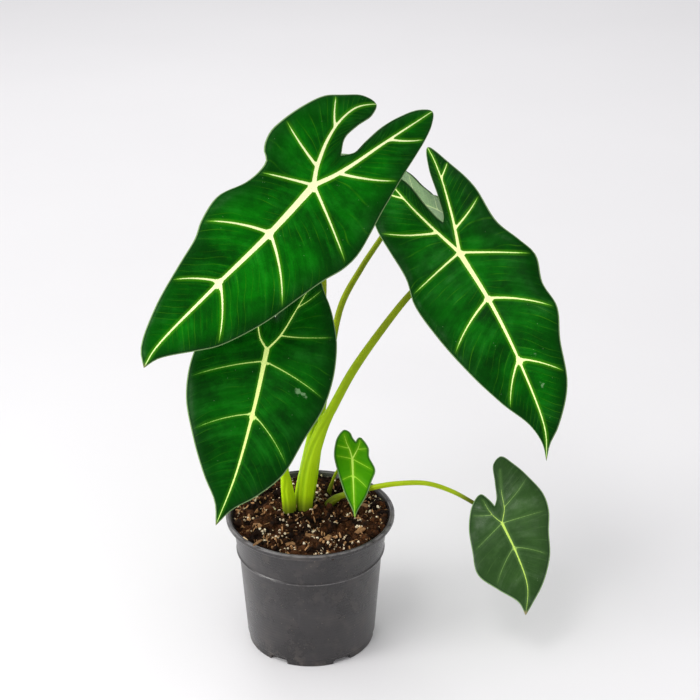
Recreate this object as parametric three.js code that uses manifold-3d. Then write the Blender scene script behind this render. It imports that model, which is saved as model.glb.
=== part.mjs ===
// Potted alocasia: a velvety arrow-leaved plant with pale veins, standing in a round nursery pot.
// Millimetres, +Z up. The origin is the centre of the pot's flat underside.
// Every leaf is two pieces, a blade and the stem (petiole) that carries it. The stems rise out of a
// buried rootstock. Heights of the plant are counted from the potting mix, so it moves with the pot.
import * as THREE from "three";
import { mergeVertices } from "three/addons/utils/BufferGeometryUtils.js";
import Module from "manifold-3d";

const wasm = await Module();
wasm.setup();

// ---------------------------------------------------------------- driving dimensions

const CLEARANCE = 0.3; // left open between pieces that touch

const POT = {
  height: 102,
  rimRadius: 60, // outside of the lip
  rimHeight: 4,
  mouthRadius: 57, // inside of the lip
  bandTopRadius: 55.5, // the upper band, just under the lip
  bandBottomRadius: 52.5,
  bandHeight: 28.5, // from the ledge to the top of the pot
  bodyTopRadius: 51.3, // the body, just under the ledge
  bodyBottomRadius: 46.5,
  footRadius: 45.5,
  footHeight: 5,
  footWidth: 3.5,
  wall: 1.2,
  floor: 1.6,
  centreRadius: 30, // flat disc that the pot stands on
  floorRise: 3, // height of the drained floor around that disc
  riseRun: 4, // width of the slope between the two
  segments: 36,
};

const DRAINAGE = {
  notches: 6, // gaps in the foot ring
  notchWidth: 13,
  notchHeight: 3.4,
  floorHoleRadius: 2.8,
  floorHoleInset: 9, // from the foot's outside to the hole's centre
  holeSides: 12,
};

const MIX = {
  drop: 4, // crown of the mix below the pot's rim
  edgeDip: 1.6, // further fall from the crown to the wall
};

const BLADE = {
  thickness: 0.8,
  ribShare: 0.022, // how far the midrib and lobe ribs stand out below, as a share of the half-width
  foldRadius: 4, // how sharply a blade folds at its midrib
  ripplePitch: 4.4, // turns the ripple takes along a half-width, in radians
  rippleLag: 1.3, // how far the left side's ripple runs behind the right's, in radians
  across: 3, // mesh steps from rib to margin
  wideSteps: 3, // mesh steps from vein to vein on a large blade
  smallSteps: 2, // and on a small one
  smallHalfWidth: 20,
};

const STEM = {
  sides: 10,
  bury: 8, // length below the top of the mix
  grooveWidth: 0.5,
  grooveDepth: 0.16,
  taperPower: 0.6,
  sheathSpread: 0.45, // how much wider the sheath is than the stem
  sheathFullness: 0.7, // below 1 for a sheath that stays wide for most of its length
};

const CHIP_LIFT = 0.4; // bark above the mix it lies on

const COLOURS = {
  pot: "#2f3133",
  mix: "#3a2619",
  bark: "#8a5a33",
  rootstock: "#b99a6b",
  dark: "#0f3d0b",
  young: "#3f8f0e",
  stem: "#9bb22c",
};

const soilHeight = POT.height - MIX.drop;
const ledgeHeight = POT.height - POT.bandHeight;

// ---------------------------------------------------------------- solids and meshes

const group = new THREE.Group();

// A manifold solid from any closed geometry.
function solidOf(geometry) {
  const bare = geometry.clone();
  bare.deleteAttribute("normal");
  bare.deleteAttribute("uv");
  const merged = mergeVertices(bare, 1e-3);
  return new wasm.Manifold(
    new wasm.Mesh({
      numProp: 3,
      vertProperties: merged.attributes.position.array,
      triVerts: new Uint32Array(merged.index.array),
    }),
  );
}

// The largest body of a solid, as a geometry; crumbs that a cut leaves behind are dropped.
function geometryOf(solid) {
  const bodies = solid.decompose();
  const largest = bodies.reduce((a, b) => (b.volume() > a.volume() ? b : a));
  const mesh = largest.getMesh();
  const geometry = new THREE.BufferGeometry();
  geometry.setAttribute("position", new THREE.BufferAttribute(mesh.vertProperties, mesh.numProp));
  geometry.setIndex(new THREE.BufferAttribute(mesh.triVerts, 1));
  geometry.computeVertexNormals();
  return geometry;
}

function addPiece(name, solid, color, roughness = 0.6) {
  const material = new THREE.MeshStandardMaterial({ color, roughness, metalness: 0 });
  const mesh = new THREE.Mesh(geometryOf(solid), material);
  mesh.name = name;
  group.add(mesh);
}

// A solid of revolution about Z, from [radius, height] points that start and end on the axis.
function turned(profile) {
  const points = profile.map(([radius, height]) => new THREE.Vector2(radius, height));
  const geometry = new THREE.LatheGeometry(points, POT.segments);
  geometry.rotateX(Math.PI / 2);
  return solidOf(geometry);
}

function subtractAll(solid, cutters) {
  return cutters.reduce((left, cutter) => left.subtract(cutter), solid);
}

// ---------------------------------------------------------------- nursery pot

// Inside of the pot from its floor to its mouth, as [radius, height].
const insideOfWall = [
  [POT.centreRadius, POT.floor],
  [POT.centreRadius + POT.riseRun, POT.floorRise + POT.floor],
  [POT.bodyBottomRadius - POT.wall, POT.floorRise + POT.floor],
  [POT.bodyTopRadius - POT.wall, ledgeHeight],
  [POT.bandBottomRadius - POT.wall, ledgeHeight + POT.wall],
  [POT.bandTopRadius - POT.wall, POT.height - POT.rimHeight - POT.wall],
  [POT.mouthRadius - POT.wall, POT.height - POT.wall],
  [POT.mouthRadius, POT.height],
];

const outsideOfWall = [
  [0, 0],
  [POT.centreRadius, 0],
  [POT.centreRadius + POT.riseRun, POT.floorRise],
  [POT.footRadius - POT.footWidth, POT.floorRise],
  [POT.footRadius - POT.footWidth, 0],
  [POT.footRadius, 0],
  [POT.footRadius, POT.footHeight],
  [POT.bodyBottomRadius, POT.footHeight],
  [POT.bodyTopRadius, ledgeHeight],
  [POT.bandBottomRadius, ledgeHeight],
  [POT.bandTopRadius, POT.height - POT.rimHeight],
  [POT.rimRadius, POT.height - POT.rimHeight],
  [POT.rimRadius, POT.height - POT.wall / 2],
  [POT.rimRadius - POT.wall, POT.height - POT.wall / 2],
  [POT.rimRadius - POT.wall, POT.height],
];

function turnAboutAxis(index, count) {
  return new THREE.Matrix4().makeRotationZ((index / count) * 2 * Math.PI);
}

function footNotch(index) {
  const reach = POT.footWidth * 2;
  const geometry = new THREE.BoxGeometry(reach, DRAINAGE.notchWidth, DRAINAGE.notchHeight * 2);
  geometry.translate(POT.footRadius - POT.footWidth + reach / 2 - CLEARANCE, 0, 0);
  geometry.applyMatrix4(turnAboutAxis(index, DRAINAGE.notches));
  return solidOf(geometry);
}

function floorHole(index) {
  const { floorHoleRadius, floorHoleInset, holeSides, notches } = DRAINAGE;
  const geometry = new THREE.CylinderGeometry(floorHoleRadius, floorHoleRadius, POT.floor * 4, holeSides);
  geometry.rotateX(Math.PI / 2);
  geometry.translate(POT.footRadius - floorHoleInset, 0, POT.floorRise);
  geometry.applyMatrix4(turnAboutAxis(index, notches));
  return solidOf(geometry);
}

function repeat(count, make) {
  return Array.from({ length: count }, (_, index) => make(index));
}

function makePot() {
  const inside = [...insideOfWall].reverse();
  const shell = turned([...outsideOfWall, ...inside, [0, POT.floor]]);
  return subtractAll(shell, [
    ...repeat(DRAINAGE.notches, footNotch),
    ...repeat(DRAINAGE.notches, floorHole),
  ]);
}

// ---------------------------------------------------------------- smooth lines

function smoothLine(points) {
  const spots = points.map((point) => new THREE.Vector3(...point, ...(point.length < 3 ? [0] : [])));
  return new THREE.CatmullRomCurve3(spots, false, "centripetal");
}

const LINE_SAMPLES = 240;

// A line as closely spaced points, which rails below pick from.
function sampled(points) {
  return smoothLine(points).getSpacedPoints(LINE_SAMPLES);
}

function nearestIndex(samples, [u, v]) {
  const target = new THREE.Vector3(u, v, 0);
  const distances = samples.map((spot) => spot.distanceTo(target));
  return distances.indexOf(Math.min(...distances));
}

function pointAt(samples, place) {
  const low = Math.min(Math.floor(place), samples.length - 2);
  return new THREE.Vector3().lerpVectors(samples[low], samples[low + 1], place - low);
}

// Points along sampled lines, in even steps between the given anchor indices.
function rail(samples, anchors, steps) {
  const spots = [samples[anchors[0]].clone()];
  anchors.slice(1).forEach((end, interval) => {
    const start = anchors[interval];
    for (let step = 1; step <= steps[interval]; step += 1) {
      spots.push(pointAt(samples, start + ((end - start) * step) / steps[interval]));
    }
  });
  return spots;
}

// ---------------------------------------------------------------- leaves

// Each blade is drawn flat, as [u, v]: v runs from the hub, where the stem joins, to the tip, and u
// points to the right of that. `hub` is the stem's end, with its height above the mix. `heading` is
// the midrib's compass angle from +X, `dip` how far it points down, `roll` how far the right side is
// turned up, all in degrees. `bend` is the radius that the midrib droops around. `fold` lifts the
// sides off the midrib and `curl` turns the margins back down (per millimetre). `wave` ripples them.
// A side holds `outer`, its margin from the lobe's end to the tip, `inner`, from the lobe's end to
// the notch between the lobes, `rib`, the vein down the lobe, and `veins`, each from its start to
// the margin, ordered from the lobe to the tip. `stem` lists where its petiole runs.
const LEAVES = {
  front_left: {
    hub: [5, -10, 255],
    heading: -140,
    dip: 30,
    roll: 54,
    bend: 380,
    fold: 0.16,
    curl: 0.0022,
    wave: 1.2,
    midrib: [[0, 0], [-2, 43], [-2, 100], [-4, 148], [-8, 162]],
    notch: [1, -29],
    right: {
      outer: [[8, -74], [18, -71], [28, -60], [36, -49], [41, -34], [44, -16], [44, -3], [39, 8], [33, 12],
        [31, 20], [32, 32], [38, 51], [34, 70], [29, 80], [24, 99], [15, 129], [2, 155]],
      inner: [[8, -74], [5, -66], [7, -52], [7, -39]],
      rib: [[0, 0], [7, -10], [17, -38], [16, -60]],
      veins: [[[17, -38], [30, -54]], [[7, -10], [42, -17]], [[0, 0], [32, 21]], [[-2, 43], [34, 70]],
        [[-2, 88], [21, 110]]],
    },
    left: {
      outer: [[-22, -103], [-28, -95], [-32, -80], [-36, -57], [-42, -30], [-47, -9], [-52, 11], [-52, 24],
        [-48, 40], [-45, 58], [-40, 88], [-31, 117], [-23, 130], [-10, 151]],
      inner: [[-22, -103], [-15, -97], [-9, -82], [-5, -65], [-4, -48], [-4, -38]],
      rib: [[0, 0], [-6, -18], [-14, -61], [-20, -92]],
      veins: [[[-14, -61], [-31, -82]], [[-6, -18], [-38, -46]], [[0, 0], [-51, 22]], [[-2, 43], [-43, 73]],
        [[-2, 88], [-31, 118]]],
    },
    stem: {
      route: [[-7, 14, 6], [-3, 15, 29], [2, 17, 60], [5, 20, 98], [8, 23, 136], [10, 24, 169],
        [9, 22, 196], [7, 15, 224], [5, 3, 243]],
      baseRadius: 4,
      tipRadius: 1.9,
      sheath: 0.25,
    },
  },
  front_right: {
    hub: [103, 32, 190],
    heading: -61,
    dip: 40,
    roll: -38,
    bend: 330,
    fold: 0.16,
    curl: 0.0024,
    wave: 1.4,
    midrib: [[0, 0], [-5, 45], [-5, 90], [0, 135], [9, 155]],
    notch: [2, -27],
    right: {
      outer: [[28, -86], [42, -68], [46, -46], [44, -24], [41, 0], [43, 20], [38, 48], [29, 78], [18, 107],
        [8, 128], [6, 143]],
      inner: [[28, -86], [15, -70], [8, -44], [4, -31]],
      rib: [[0, 0], [8, -20], [18, -48], [25, -74]],
      veins: [[[20, -55], [36, -76]], [[8, -20], [45, -40]], [[0, 0], [42, 14]], [[-5, 38], [33, 64]],
        [[-5, 84], [15, 113]]],
    },
    left: {
      outer: [[-9, -87], [-18, -68], [-28, -40], [-32, -8], [-41, 12], [-46, 25], [-42, 45], [-44, 64],
        [-36, 85], [-27, 114], [-9, 137], [2, 146]],
      inner: [[-9, -87], [-4, -70], [-2, -45], [0, -31]],
      rib: [[0, 0], [-4, -17], [-9, -50], [-10, -78]],
      veins: [[[-9, -57], [-21, -68]], [[-4, -17], [-32, -32]], [[0, 0], [-46, 25]], [[-5, 38], [-44, 65]],
        [[-5, 84], [-31, 106]]],
    },
    stem: {
      route: [[-4, 7, 6], [-2, 8, 27], [1, 9, 42], [9, 12, 66], [16, 15, 79], [30, 22, 104], [50, 32, 131],
        [70, 42, 154], [84, 45, 167], [95, 41, 180]],
      baseRadius: 5.2,
      tipRadius: 1.9,
      sheath: 0.36,
    },
  },
  front_low: {
    hub: [-27, -25, 144],
    heading: -112,
    dip: 45,
    roll: 23,
    bend: 260,
    fold: 0.12,
    curl: 0.0022,
    wave: 1.2,
    midrib: [[0, 0], [-3, 40], [-4, 86], [-1, 123]],
    notch: [1, -25],
    right: {
      outer: [[25, -50], [36, -30], [43, -4], [46, 22], [42, 46], [30, 70], [16, 92], [4, 108]],
      inner: [[25, -50], [16, -44], [8, -34], [3, -27]],
      rib: [[0, 0], [5, -4], [12, -18], [21, -38]],
      veins: [[[12, -18], [33, -36]], [[5, -4], [42, -10]], [[0, 0], [45, 28]], [[-3, 44], [33, 66]]],
    },
    left: {
      outer: [[-18, -64], [-26, -53], [-37, -35], [-44, -18], [-48, 8], [-47, 28], [-41, 50], [-34, 77],
        [-22, 95], [-8, 110]],
      inner: [[-18, -64], [-9, -58], [-3, -44], [0, -29]],
      rib: [[0, 0], [-6, -12], [-11, -32], [-16, -54]],
      veins: [[[-12, -35], [-25, -55]], [[-6, -12], [-43, -23]], [[0, 0], [-47, 22]], [[-3, 44], [-35, 72]]],
    },
    stem: {
      route: [[-15, 3, 6], [-17, 3, 27], [-19, 1, 49], [-22, -2, 79], [-25, -6, 108], [-27, -12, 127]],
      baseRadius: 4,
      tipRadius: 1.9,
      sheath: 0.25,
    },
  },
  back: {
    hub: [64, 156, 179],
    heading: 127,
    dip: 11,
    roll: -63,
    bend: 240,
    fold: 0.1,
    curl: 0.0018,
    wave: 1,
    midrib: [[0, 0], [1, 50], [2, 100], [2, 140]],
    notch: [11, -26],
    right: {
      outer: [[22, -66], [27, -54], [30, -34], [29, -10], [29, 12], [26, 34], [24, 54], [20, 80], [12, 108],
        [5, 127]],
      inner: [[22, -66], [17, -58], [14, -44], [13, -34]],
      rib: [[0, 0], [8, -14], [16, -34], [21, -52]],
      veins: [[[14, -29], [29, -42]], [[8, -14], [29, -24]], [[0, 0], [29, 20]], [[1, 40], [23, 62]],
        [[2, 84], [14, 103]]],
    },
    left: {
      outer: [[-13, -97], [-24, -96], [-28, -84], [-26, -68], [-28, -54], [-38, -44], [-41, -26], [-40, -8],
        [-43, 12], [-45, 34], [-40, 60], [-31, 86], [-18, 110], [-5, 127]],
      inner: [[-13, -97], [0, -90], [8, -76], [11, -56], [12, -40]],
      rib: [[0, 0], [-2, -16], [-5, -42], [-8, -72]],
      veins: [[[-7, -60], [-26, -72]], [[-4, -29], [-38, -44]], [[0, 0], [-45, 24]], [[1, 40], [-36, 72]],
        [[2, 84], [-19, 108]]],
    },
    stem: {
      route: [[-1, 21, 4], [5, 25, 48], [13, 38, 97], [22, 60, 137], [36, 82, 156], [49, 108, 166],
        [57, 131, 169], [61, 147, 173]],
      baseRadius: 3.6,
      tipRadius: 1.8,
      sheath: 0.25,
    },
  },
  pup: {
    hub: [30, 22, 34],
    heading: -87,
    dip: 44,
    roll: -3,
    bend: 150,
    fold: 0.16,
    curl: 0.003,
    wave: 0.4,
    midrib: [[0, 0], [0, 20], [0, 43]],
    notch: [-3, -13],
    right: {
      outer: [[5, -23], [10, -17], [12, -11], [13, -3], [12, 4], [9, 16], [6, 26], [1, 38]],
      inner: [[5, -23], [1, -21], [-1, -16]],
      rib: [[0, 0], [2, -8], [5, -16]],
      veins: [[[2, -8], [12, -11]], [[0, 0], [12, -3]], [[0, 12], [9, 16]]],
    },
    left: {
      outer: [[-6, -16], [-9, -13], [-12, -7], [-12, -1], [-16, 9], [-13, 17], [-9, 27], [-2, 38]],
      inner: [[-6, -16], [-4, -15]],
      rib: [[0, 0], [-4, -7], [-6, -12]],
      veins: [[[-4, -7], [-12, -7]], [[0, 0], [-15, 10]], [[0, 12], [-10, 23]]],
    },
    stem: {
      route: [[13, 35, -2], [15, 35, 6], [18, 34, 15], [23, 32, 24], [28, 28, 30]],
      baseRadius: 1.4,
      tipRadius: 0.9,
      sheath: 0.3,
    },
  },
  low_right: {
    hub: [136, -10, 0],
    heading: -62,
    dip: 40,
    roll: -28,
    bend: 200,
    fold: 0.1,
    curl: 0.0024,
    wave: 0.8,
    midrib: [[0, 0], [-1, 25], [1, 48], [10, 66]],
    notch: [0, -14],
    right: {
      outer: [[6, -26], [15, -20], [23, -6], [27, 10], [30, 27], [21, 42], [11, 56]],
      inner: [[6, -26], [2, -20]],
      rib: [[0, 0], [4, -8], [6, -18]],
      veins: [[[4, -8], [19, -14]], [[0, 0], [27, 12]], [[-1, 19], [22, 41]]],
    },
    left: {
      outer: [[-18, -47], [-24, -38], [-30, -25], [-35, -9], [-34, 4], [-28, 18], [-22, 34], [-10, 50],
        [2, 60]],
      inner: [[-18, -47], [-11, -44], [-7, -31], [-3, -18]],
      rib: [[0, 0], [-6, -10], [-9, -24], [-14, -38]],
      veins: [[[-6, -10], [-30, -25]], [[0, 0], [-34, 4]], [[-1, 19], [-22, 34]]],
    },
    stem: {
      route: [[13, 13, 1], [19, 14, 6.5], [27, 13, 10.5], [43, 11, 16.5], [62, 6, 23], [82, 3, 25],
        [99, 7, 17], [116, 14, 3], [127, 12, -4], [134, 3, -6]],
      baseRadius: 2.6,
      tipRadius: 1.3,
      sheath: 0.12,
    },
  },
};

// The blade's own axes: along the midrib, to its right, and out of its upper face.
function bladeAxes({ heading, dip, roll }) {
  const [turn, fall, tilt] = [heading, dip, roll].map(THREE.MathUtils.degToRad);
  const level = new THREE.Vector3(Math.sin(turn), -Math.cos(turn), 0);
  const flat = Math.cos(fall);
  const along = new THREE.Vector3(flat * Math.cos(turn), flat * Math.sin(turn), -Math.sin(fall));
  const up = new THREE.Vector3().crossVectors(level, along);
  const right = level.clone().multiplyScalar(Math.cos(tilt)).addScaledVector(up, Math.sin(tilt));
  const out = up.clone().multiplyScalar(Math.cos(tilt)).addScaledVector(level, -Math.sin(tilt));
  return { along, right, out };
}

function hubOf(leaf) {
  const [x, y, height] = leaf.hub;
  return new THREE.Vector3(x, y, height + soilHeight);
}

function halfWidthOf(leaf) {
  return Math.max(...[...leaf.right.outer, ...leaf.left.outer].map(([u]) => Math.abs(u)));
}

// How far the upper face stands off the plain bent sheet at [u, v].
function lift(leaf, u, v) {
  const folded = leaf.fold * (Math.hypot(u, BLADE.foldRadius) - BLADE.foldRadius);
  const halfWidth = halfWidthOf(leaf);
  const phase = (BLADE.ripplePitch * v) / halfWidth + (u < 0 ? BLADE.rippleLag : 0);
  return folded - leaf.curl * u * u + leaf.wave * (u / halfWidth) ** 2 * Math.sin(phase);
}

// Where [u, v] of the drawn blade lies in space, raised by `offset` towards the upper face.
function onBlade(leaf, [u, v], offset) {
  const { along, right, out } = bladeAxes(leaf);
  const angle = v / leaf.bend;
  const normal = out.clone().multiplyScalar(Math.cos(angle)).addScaledVector(along, Math.sin(angle));
  return hubOf(leaf)
    .addScaledVector(along, leaf.bend * Math.sin(angle))
    .addScaledVector(out, -leaf.bend * (1 - Math.cos(angle)))
    .addScaledVector(right, u)
    .addScaledVector(normal, lift(leaf, u, v) + offset);
}

// One strip of the blade, between two rails that share their ends.
function strip(from, to) {
  return from.map((start, index) => {
    const row = [];
    for (let step = 0; step <= BLADE.across; step += 1) {
      row.push(new THREE.Vector3().lerpVectors(start, to[index], step / BLADE.across));
    }
    return row;
  });
}

// The two strips of a side: from lobe rib and midrib out to the margin, and from lobe rib to notch.
function sideStrips(leaf, side) {
  const tip = leaf.midrib.at(-1);
  const lobeEnd = side.outer[0];
  const rib = sampled([...side.rib, lobeEnd]);
  const skeleton = [...rib.slice(1).reverse(), ...sampled(leaf.midrib)];
  const outline = sampled([leaf.notch, ...[...side.inner].reverse(), ...side.outer.slice(1), tip]);
  const turn = nearestIndex(outline, lobeEnd);
  const margin = outline.slice(turn);
  const notchLine = outline.slice(0, turn + 1).reverse();
  const starts = [0, ...side.veins.map(([start]) => nearestIndex(skeleton, start)), skeleton.length - 1];
  const ends = [0, ...side.veins.map(([, end]) => nearestIndex(margin, end)), margin.length - 1];
  const perVein = halfWidthOf(leaf) > BLADE.smallHalfWidth ? BLADE.wideSteps : BLADE.smallSteps;
  const steps = starts.slice(1).map(() => perVein);
  const skeletonRail = rail(skeleton, starts, steps);
  const ribSteps = perVein * (side.veins.findIndex(([start]) => Math.hypot(...start) === 0) + 1);
  const ribRail = skeletonRail.slice(0, ribSteps + 1);
  const notchRail = rail(notchLine, [0, notchLine.length - 1], [ribSteps]);
  return [strip(skeletonRail, rail(margin, ends, steps)), strip(ribRail, notchRail)];
}

// Both faces of the blade and the edge between them, as one closed solid grown by `grow` all over.
function bladeSolid(leaf, grow = 0) {
  const spots = [];
  const keys = new Map();
  const faces = [];
  const addSpot = (point, onRib) => {
    const key = `${point.x.toFixed(3)},${point.y.toFixed(3)}`;
    if (!keys.has(key)) {
      keys.set(key, spots.length);
      spots.push({ point, onRib });
    }
    return keys.get(key);
  };
  for (const [side, mirrored] of [[leaf.right, false], [leaf.left, true]]) {
    sideStrips(leaf, side).forEach((rows, which) => {
      const index = rows.map((row) => row.map((point, step) => addSpot(point, step === 0)));
      const flip = mirrored !== (which === 1);
      for (let i = 0; i + 1 < index.length; i += 1) {
        for (let j = 0; j < BLADE.across; j += 1) {
          const [a, b, c, d] = [index[i][j], index[i + 1][j], index[i + 1][j + 1], index[i][j + 1]];
          for (const face of [[a, b, c], [a, c, d]]) {
            if (new Set(face).size === 3) faces.push(flip ? face : [...face].reverse());
          }
        }
      }
    });
  }
  return closedSheet(leaf, spots, faces, grow);
}

function closedSheet(leaf, spots, faces, grow) {
  const half = BLADE.thickness / 2 + grow;
  const ribDepth = BLADE.ribShare * halfWidthOf(leaf);
  const upper = spots.map(({ point }) => onBlade(leaf, [point.x, point.y], half));
  const lower = spots.map(({ point, onRib }) => {
    return onBlade(leaf, [point.x, point.y], -half - (onRib ? ribDepth : 0));
  });
  const count = spots.length;
  const indices = [];
  const edges = new Map();
  for (const [a, b, c] of faces) {
    indices.push(a, b, c, a + count, c + count, b + count);
    for (const [p, q] of [[a, b], [b, c], [c, a]]) {
      if (!edges.delete(`${q}_${p}`)) edges.set(`${p}_${q}`, [p, q]);
    }
  }
  for (const [p, q] of edges.values()) {
    indices.push(q, p, p + count, q, p + count, q + count);
  }
  const geometry = new THREE.BufferGeometry().setFromPoints([...upper, ...lower]);
  geometry.setIndex(indices);
  return solidOf(geometry);
}

// ---------------------------------------------------------------- stems

// A solid swept along a smooth line, its section given at each step from 0 to 1.
function sweep(points, sectionAt, facing, steps) {
  const line = smoothLine(points);
  const spots = [];
  for (let step = 0; step <= steps; step += 1) {
    const place = step / steps;
    const centre = line.getPointAt(place);
    const along = line.getTangentAt(place);
    const front = facing.clone().addScaledVector(along, -facing.dot(along)).normalize();
    const across = new THREE.Vector3().crossVectors(front, along);
    for (const [x, y] of sectionAt(place)) {
      spots.push(centre.clone().addScaledVector(across, x).addScaledVector(front, y));
    }
  }
  const sides = sectionAt(0).length;
  const indices = [];
  for (let step = 0; step < steps; step += 1) {
    for (let side = 0; side < sides; side += 1) {
      const next = (side + 1) % sides;
      const [a, b] = [step * sides + side, step * sides + next];
      indices.push(a, b, b + sides, a, b + sides, a + sides);
    }
  }
  for (let side = 1; side + 1 < sides; side += 1) {
    const last = steps * sides;
    indices.push(0, side + 1, side, last, last + side, last + side + 1);
  }
  const geometry = new THREE.BufferGeometry().setFromPoints(spots);
  geometry.setIndex(indices);
  return solidOf(geometry);
}

// A petiole's section: round, with a groove up its front, wide where the sheath clasps its neighbour.
function stemSection(stem, place, grow) {
  const taper = THREE.MathUtils.lerp(stem.baseRadius, stem.tipRadius, place ** STEM.taperPower);
  const sheathed = Math.sin(Math.PI * Math.min(1, place / stem.sheath)) ** STEM.sheathFullness;
  const width = taper * (1 + STEM.sheathSpread * sheathed) + grow;
  const depth = taper + grow;
  return repeat(STEM.sides, (side) => {
    const angle = (side / STEM.sides) * 2 * Math.PI;
    const groove = STEM.grooveDepth * Math.exp(-(((angle - Math.PI / 2) / STEM.grooveWidth) ** 2));
    return [width * Math.cos(angle) * (1 - groove), depth * Math.sin(angle) * (1 - groove)];
  });
}

function stemRoute(leaf) {
  const [baseX, baseY, baseHeight] = leaf.stem.route[0];
  const buried = [baseX, baseY, baseHeight - leaf.stem.route[0][2] - STEM.bury];
  return [buried, ...leaf.stem.route, leaf.hub].map(([x, y, z]) => [x, y, z + soilHeight]);
}

const stemFront = new THREE.Vector3(0.15, -1, 0.1).normalize();

function stemSolid(leaf, grow = 0) {
  const steps = leaf.stem.route.length * 2 + 4;
  return sweep(stemRoute(leaf), (place) => stemSection(leaf.stem, place, grow), stemFront, steps);
}

// ---------------------------------------------------------------- rootstocks

const ROOTSTOCKS = {
  main_rootstock: {
    place: [-6, 11],
    radius: 13,
    length: 26,
    roots: 6,
    rootRadius: 1.5,
    rootReach: 24,
    rootFall: 40,
  },
  offset_rootstock: {
    place: [12, 22],
    radius: 7,
    length: 16,
    roots: 4,
    rootRadius: 1.1,
    rootReach: 14,
    rootFall: 24,
  },
};

const rootstockTop = soilHeight - STEM.bury - CLEARANCE;

function cormSolid({ place, radius, length }, grow) {
  const wide = radius + grow;
  const top = rootstockTop + grow;
  const profile = [
    [0, top - length - 2 * grow],
    [wide * 0.55, top - length - grow],
    [wide * 0.95, top - length * 0.7],
    [wide, top - length * 0.35],
    [wide * 0.9, top - length * 0.1],
    [wide * 0.7, top],
    [0, top],
  ];
  const points = profile.map(([r, z]) => new THREE.Vector2(r, z));
  const geometry = new THREE.LatheGeometry(points, 16);
  geometry.rotateX(Math.PI / 2);
  geometry.translate(...place, 0);
  return solidOf(geometry);
}

function rootSolid(stock, index, grow) {
  const angle = ((index + 0.3) / stock.roots) * 2 * Math.PI;
  const [x, y] = stock.place;
  const top = rootstockTop - stock.length * 0.6;
  const at = (reach, fall) => {
    const bend = angle + reach * 0.015;
    return [x + reach * Math.cos(bend), y + reach * Math.sin(bend), top - fall];
  };
  const route = [
    at(stock.radius * 0.5, 0),
    at(stock.rootReach * 0.6, stock.rootFall * 0.15),
    at(stock.rootReach * 0.9, stock.rootFall * 0.5),
    at(stock.rootReach, stock.rootFall),
  ];
  const section = (share) => {
    const radius = stock.rootRadius * (1 - 0.6 * share) + grow;
    return repeat(6, (side) => {
      const turn = (side / 6) * 2 * Math.PI;
      return [radius * Math.cos(turn), radius * Math.sin(turn)];
    });
  };
  return sweep(route, section, new THREE.Vector3(-Math.sin(angle), Math.cos(angle), 0), 6);
}

function rootstockSolid(stock, grow = 0) {
  const roots = repeat(stock.roots, (index) => rootSolid(stock, index, grow));
  return roots.reduce((solid, root) => solid.add(root), cormSolid(stock, grow));
}

// ---------------------------------------------------------------- potting mix

// Inside radius of the pot's upper band at a height.
function wallRadiusAt(height) {
  const above = insideOfWall.findIndex(([, z]) => z >= height);
  const [[r0, z0], [r1, z1]] = insideOfWall.slice(above - 1, above + 1);
  return THREE.MathUtils.lerp(r0, r1, (height - z0) / (z1 - z0));
}

function surfaceHeight(radius) {
  return soilHeight - MIX.edgeDip * (radius / POT.bandTopRadius) ** 2;
}

// The plug of mix, clear of the pot all round, with a low crown.
function plugOfMix() {
  const edgeHeight = soilHeight - MIX.edgeDip;
  const edgeRadius = wallRadiusAt(edgeHeight) - CLEARANCE;
  const side = insideOfWall.filter(([, z]) => z < edgeHeight);
  const raised = ([r, z]) => [r - CLEARANCE, z < POT.footHeight ? z + CLEARANCE : z];
  return turned([
    [0, POT.floor + CLEARANCE],
    ...side.map(raised),
    [edgeRadius, edgeHeight],
    [edgeRadius * 0.7, surfaceHeight(edgeRadius * 0.7)],
    [edgeRadius * 0.35, surfaceHeight(edgeRadius * 0.35)],
    [0, soilHeight],
  ]);
}

// ---------------------------------------------------------------- bark on the mix

// Loose bark lying on the mix: the angle round the pot, how far in from the wall, its length,
// width and thickness, and how it is turned.
const BARK = [
  { angle: 250, inset: 12, size: [11, 6, 3], turn: 20 },
  { angle: 292, inset: 19, size: [9, 5, 2.6], turn: 75 },
  { angle: 205, inset: 14, size: [8, 5, 2.4], turn: -35 },
  { angle: 325, inset: 11, size: [10, 5, 2.8], turn: 50 },
  { angle: 18, inset: 13, size: [9, 6, 2.4], turn: -10 },
  { angle: 268, inset: 25, size: [7, 4, 2.4], turn: 110 },
];

function barkSolid({ angle, inset, size, turn }) {
  const bearing = THREE.MathUtils.degToRad(angle);
  const radius = wallRadiusAt(soilHeight - MIX.edgeDip) - inset;
  const [length, width, thickness] = size;
  const geometry = new THREE.IcosahedronGeometry(0.5, 1);
  geometry.scale(length, width, thickness);
  geometry.rotateZ(THREE.MathUtils.degToRad(turn));
  const rest = surfaceHeight(radius - length / 2) + thickness / 2 + CHIP_LIFT;
  geometry.translate(radius * Math.cos(bearing), radius * Math.sin(bearing), rest);
  return solidOf(geometry);
}

// ---------------------------------------------------------------- assembly

addPiece("nursery_pot", makePot(), COLOURS.pot, 0.45);

// Solids that stand in the mix, grown by the clearance, each left room for by the pieces made after it.
const buried = [];
for (const [name, stock] of Object.entries(ROOTSTOCKS)) {
  addPiece(name, subtractAll(rootstockSolid(stock), buried), COLOURS.rootstock, 0.8);
  buried.push(rootstockSolid(stock, CLEARANCE));
}

// Stems that crowd together at the crown, in the order that they take their room.
const STEM_ORDER = ["front_right", "front_low", "front_left", "back", "low_right", "pup"];
for (const name of STEM_ORDER) {
  const leaf = LEAVES[name];
  const stem = subtractAll(stemSolid(leaf), [...buried, bladeSolid(leaf, CLEARANCE)]);
  addPiece(`${name}_petiole`, stem, COLOURS.stem, 0.45);
  buried.push(stemSolid(leaf, CLEARANCE));
}

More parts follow.
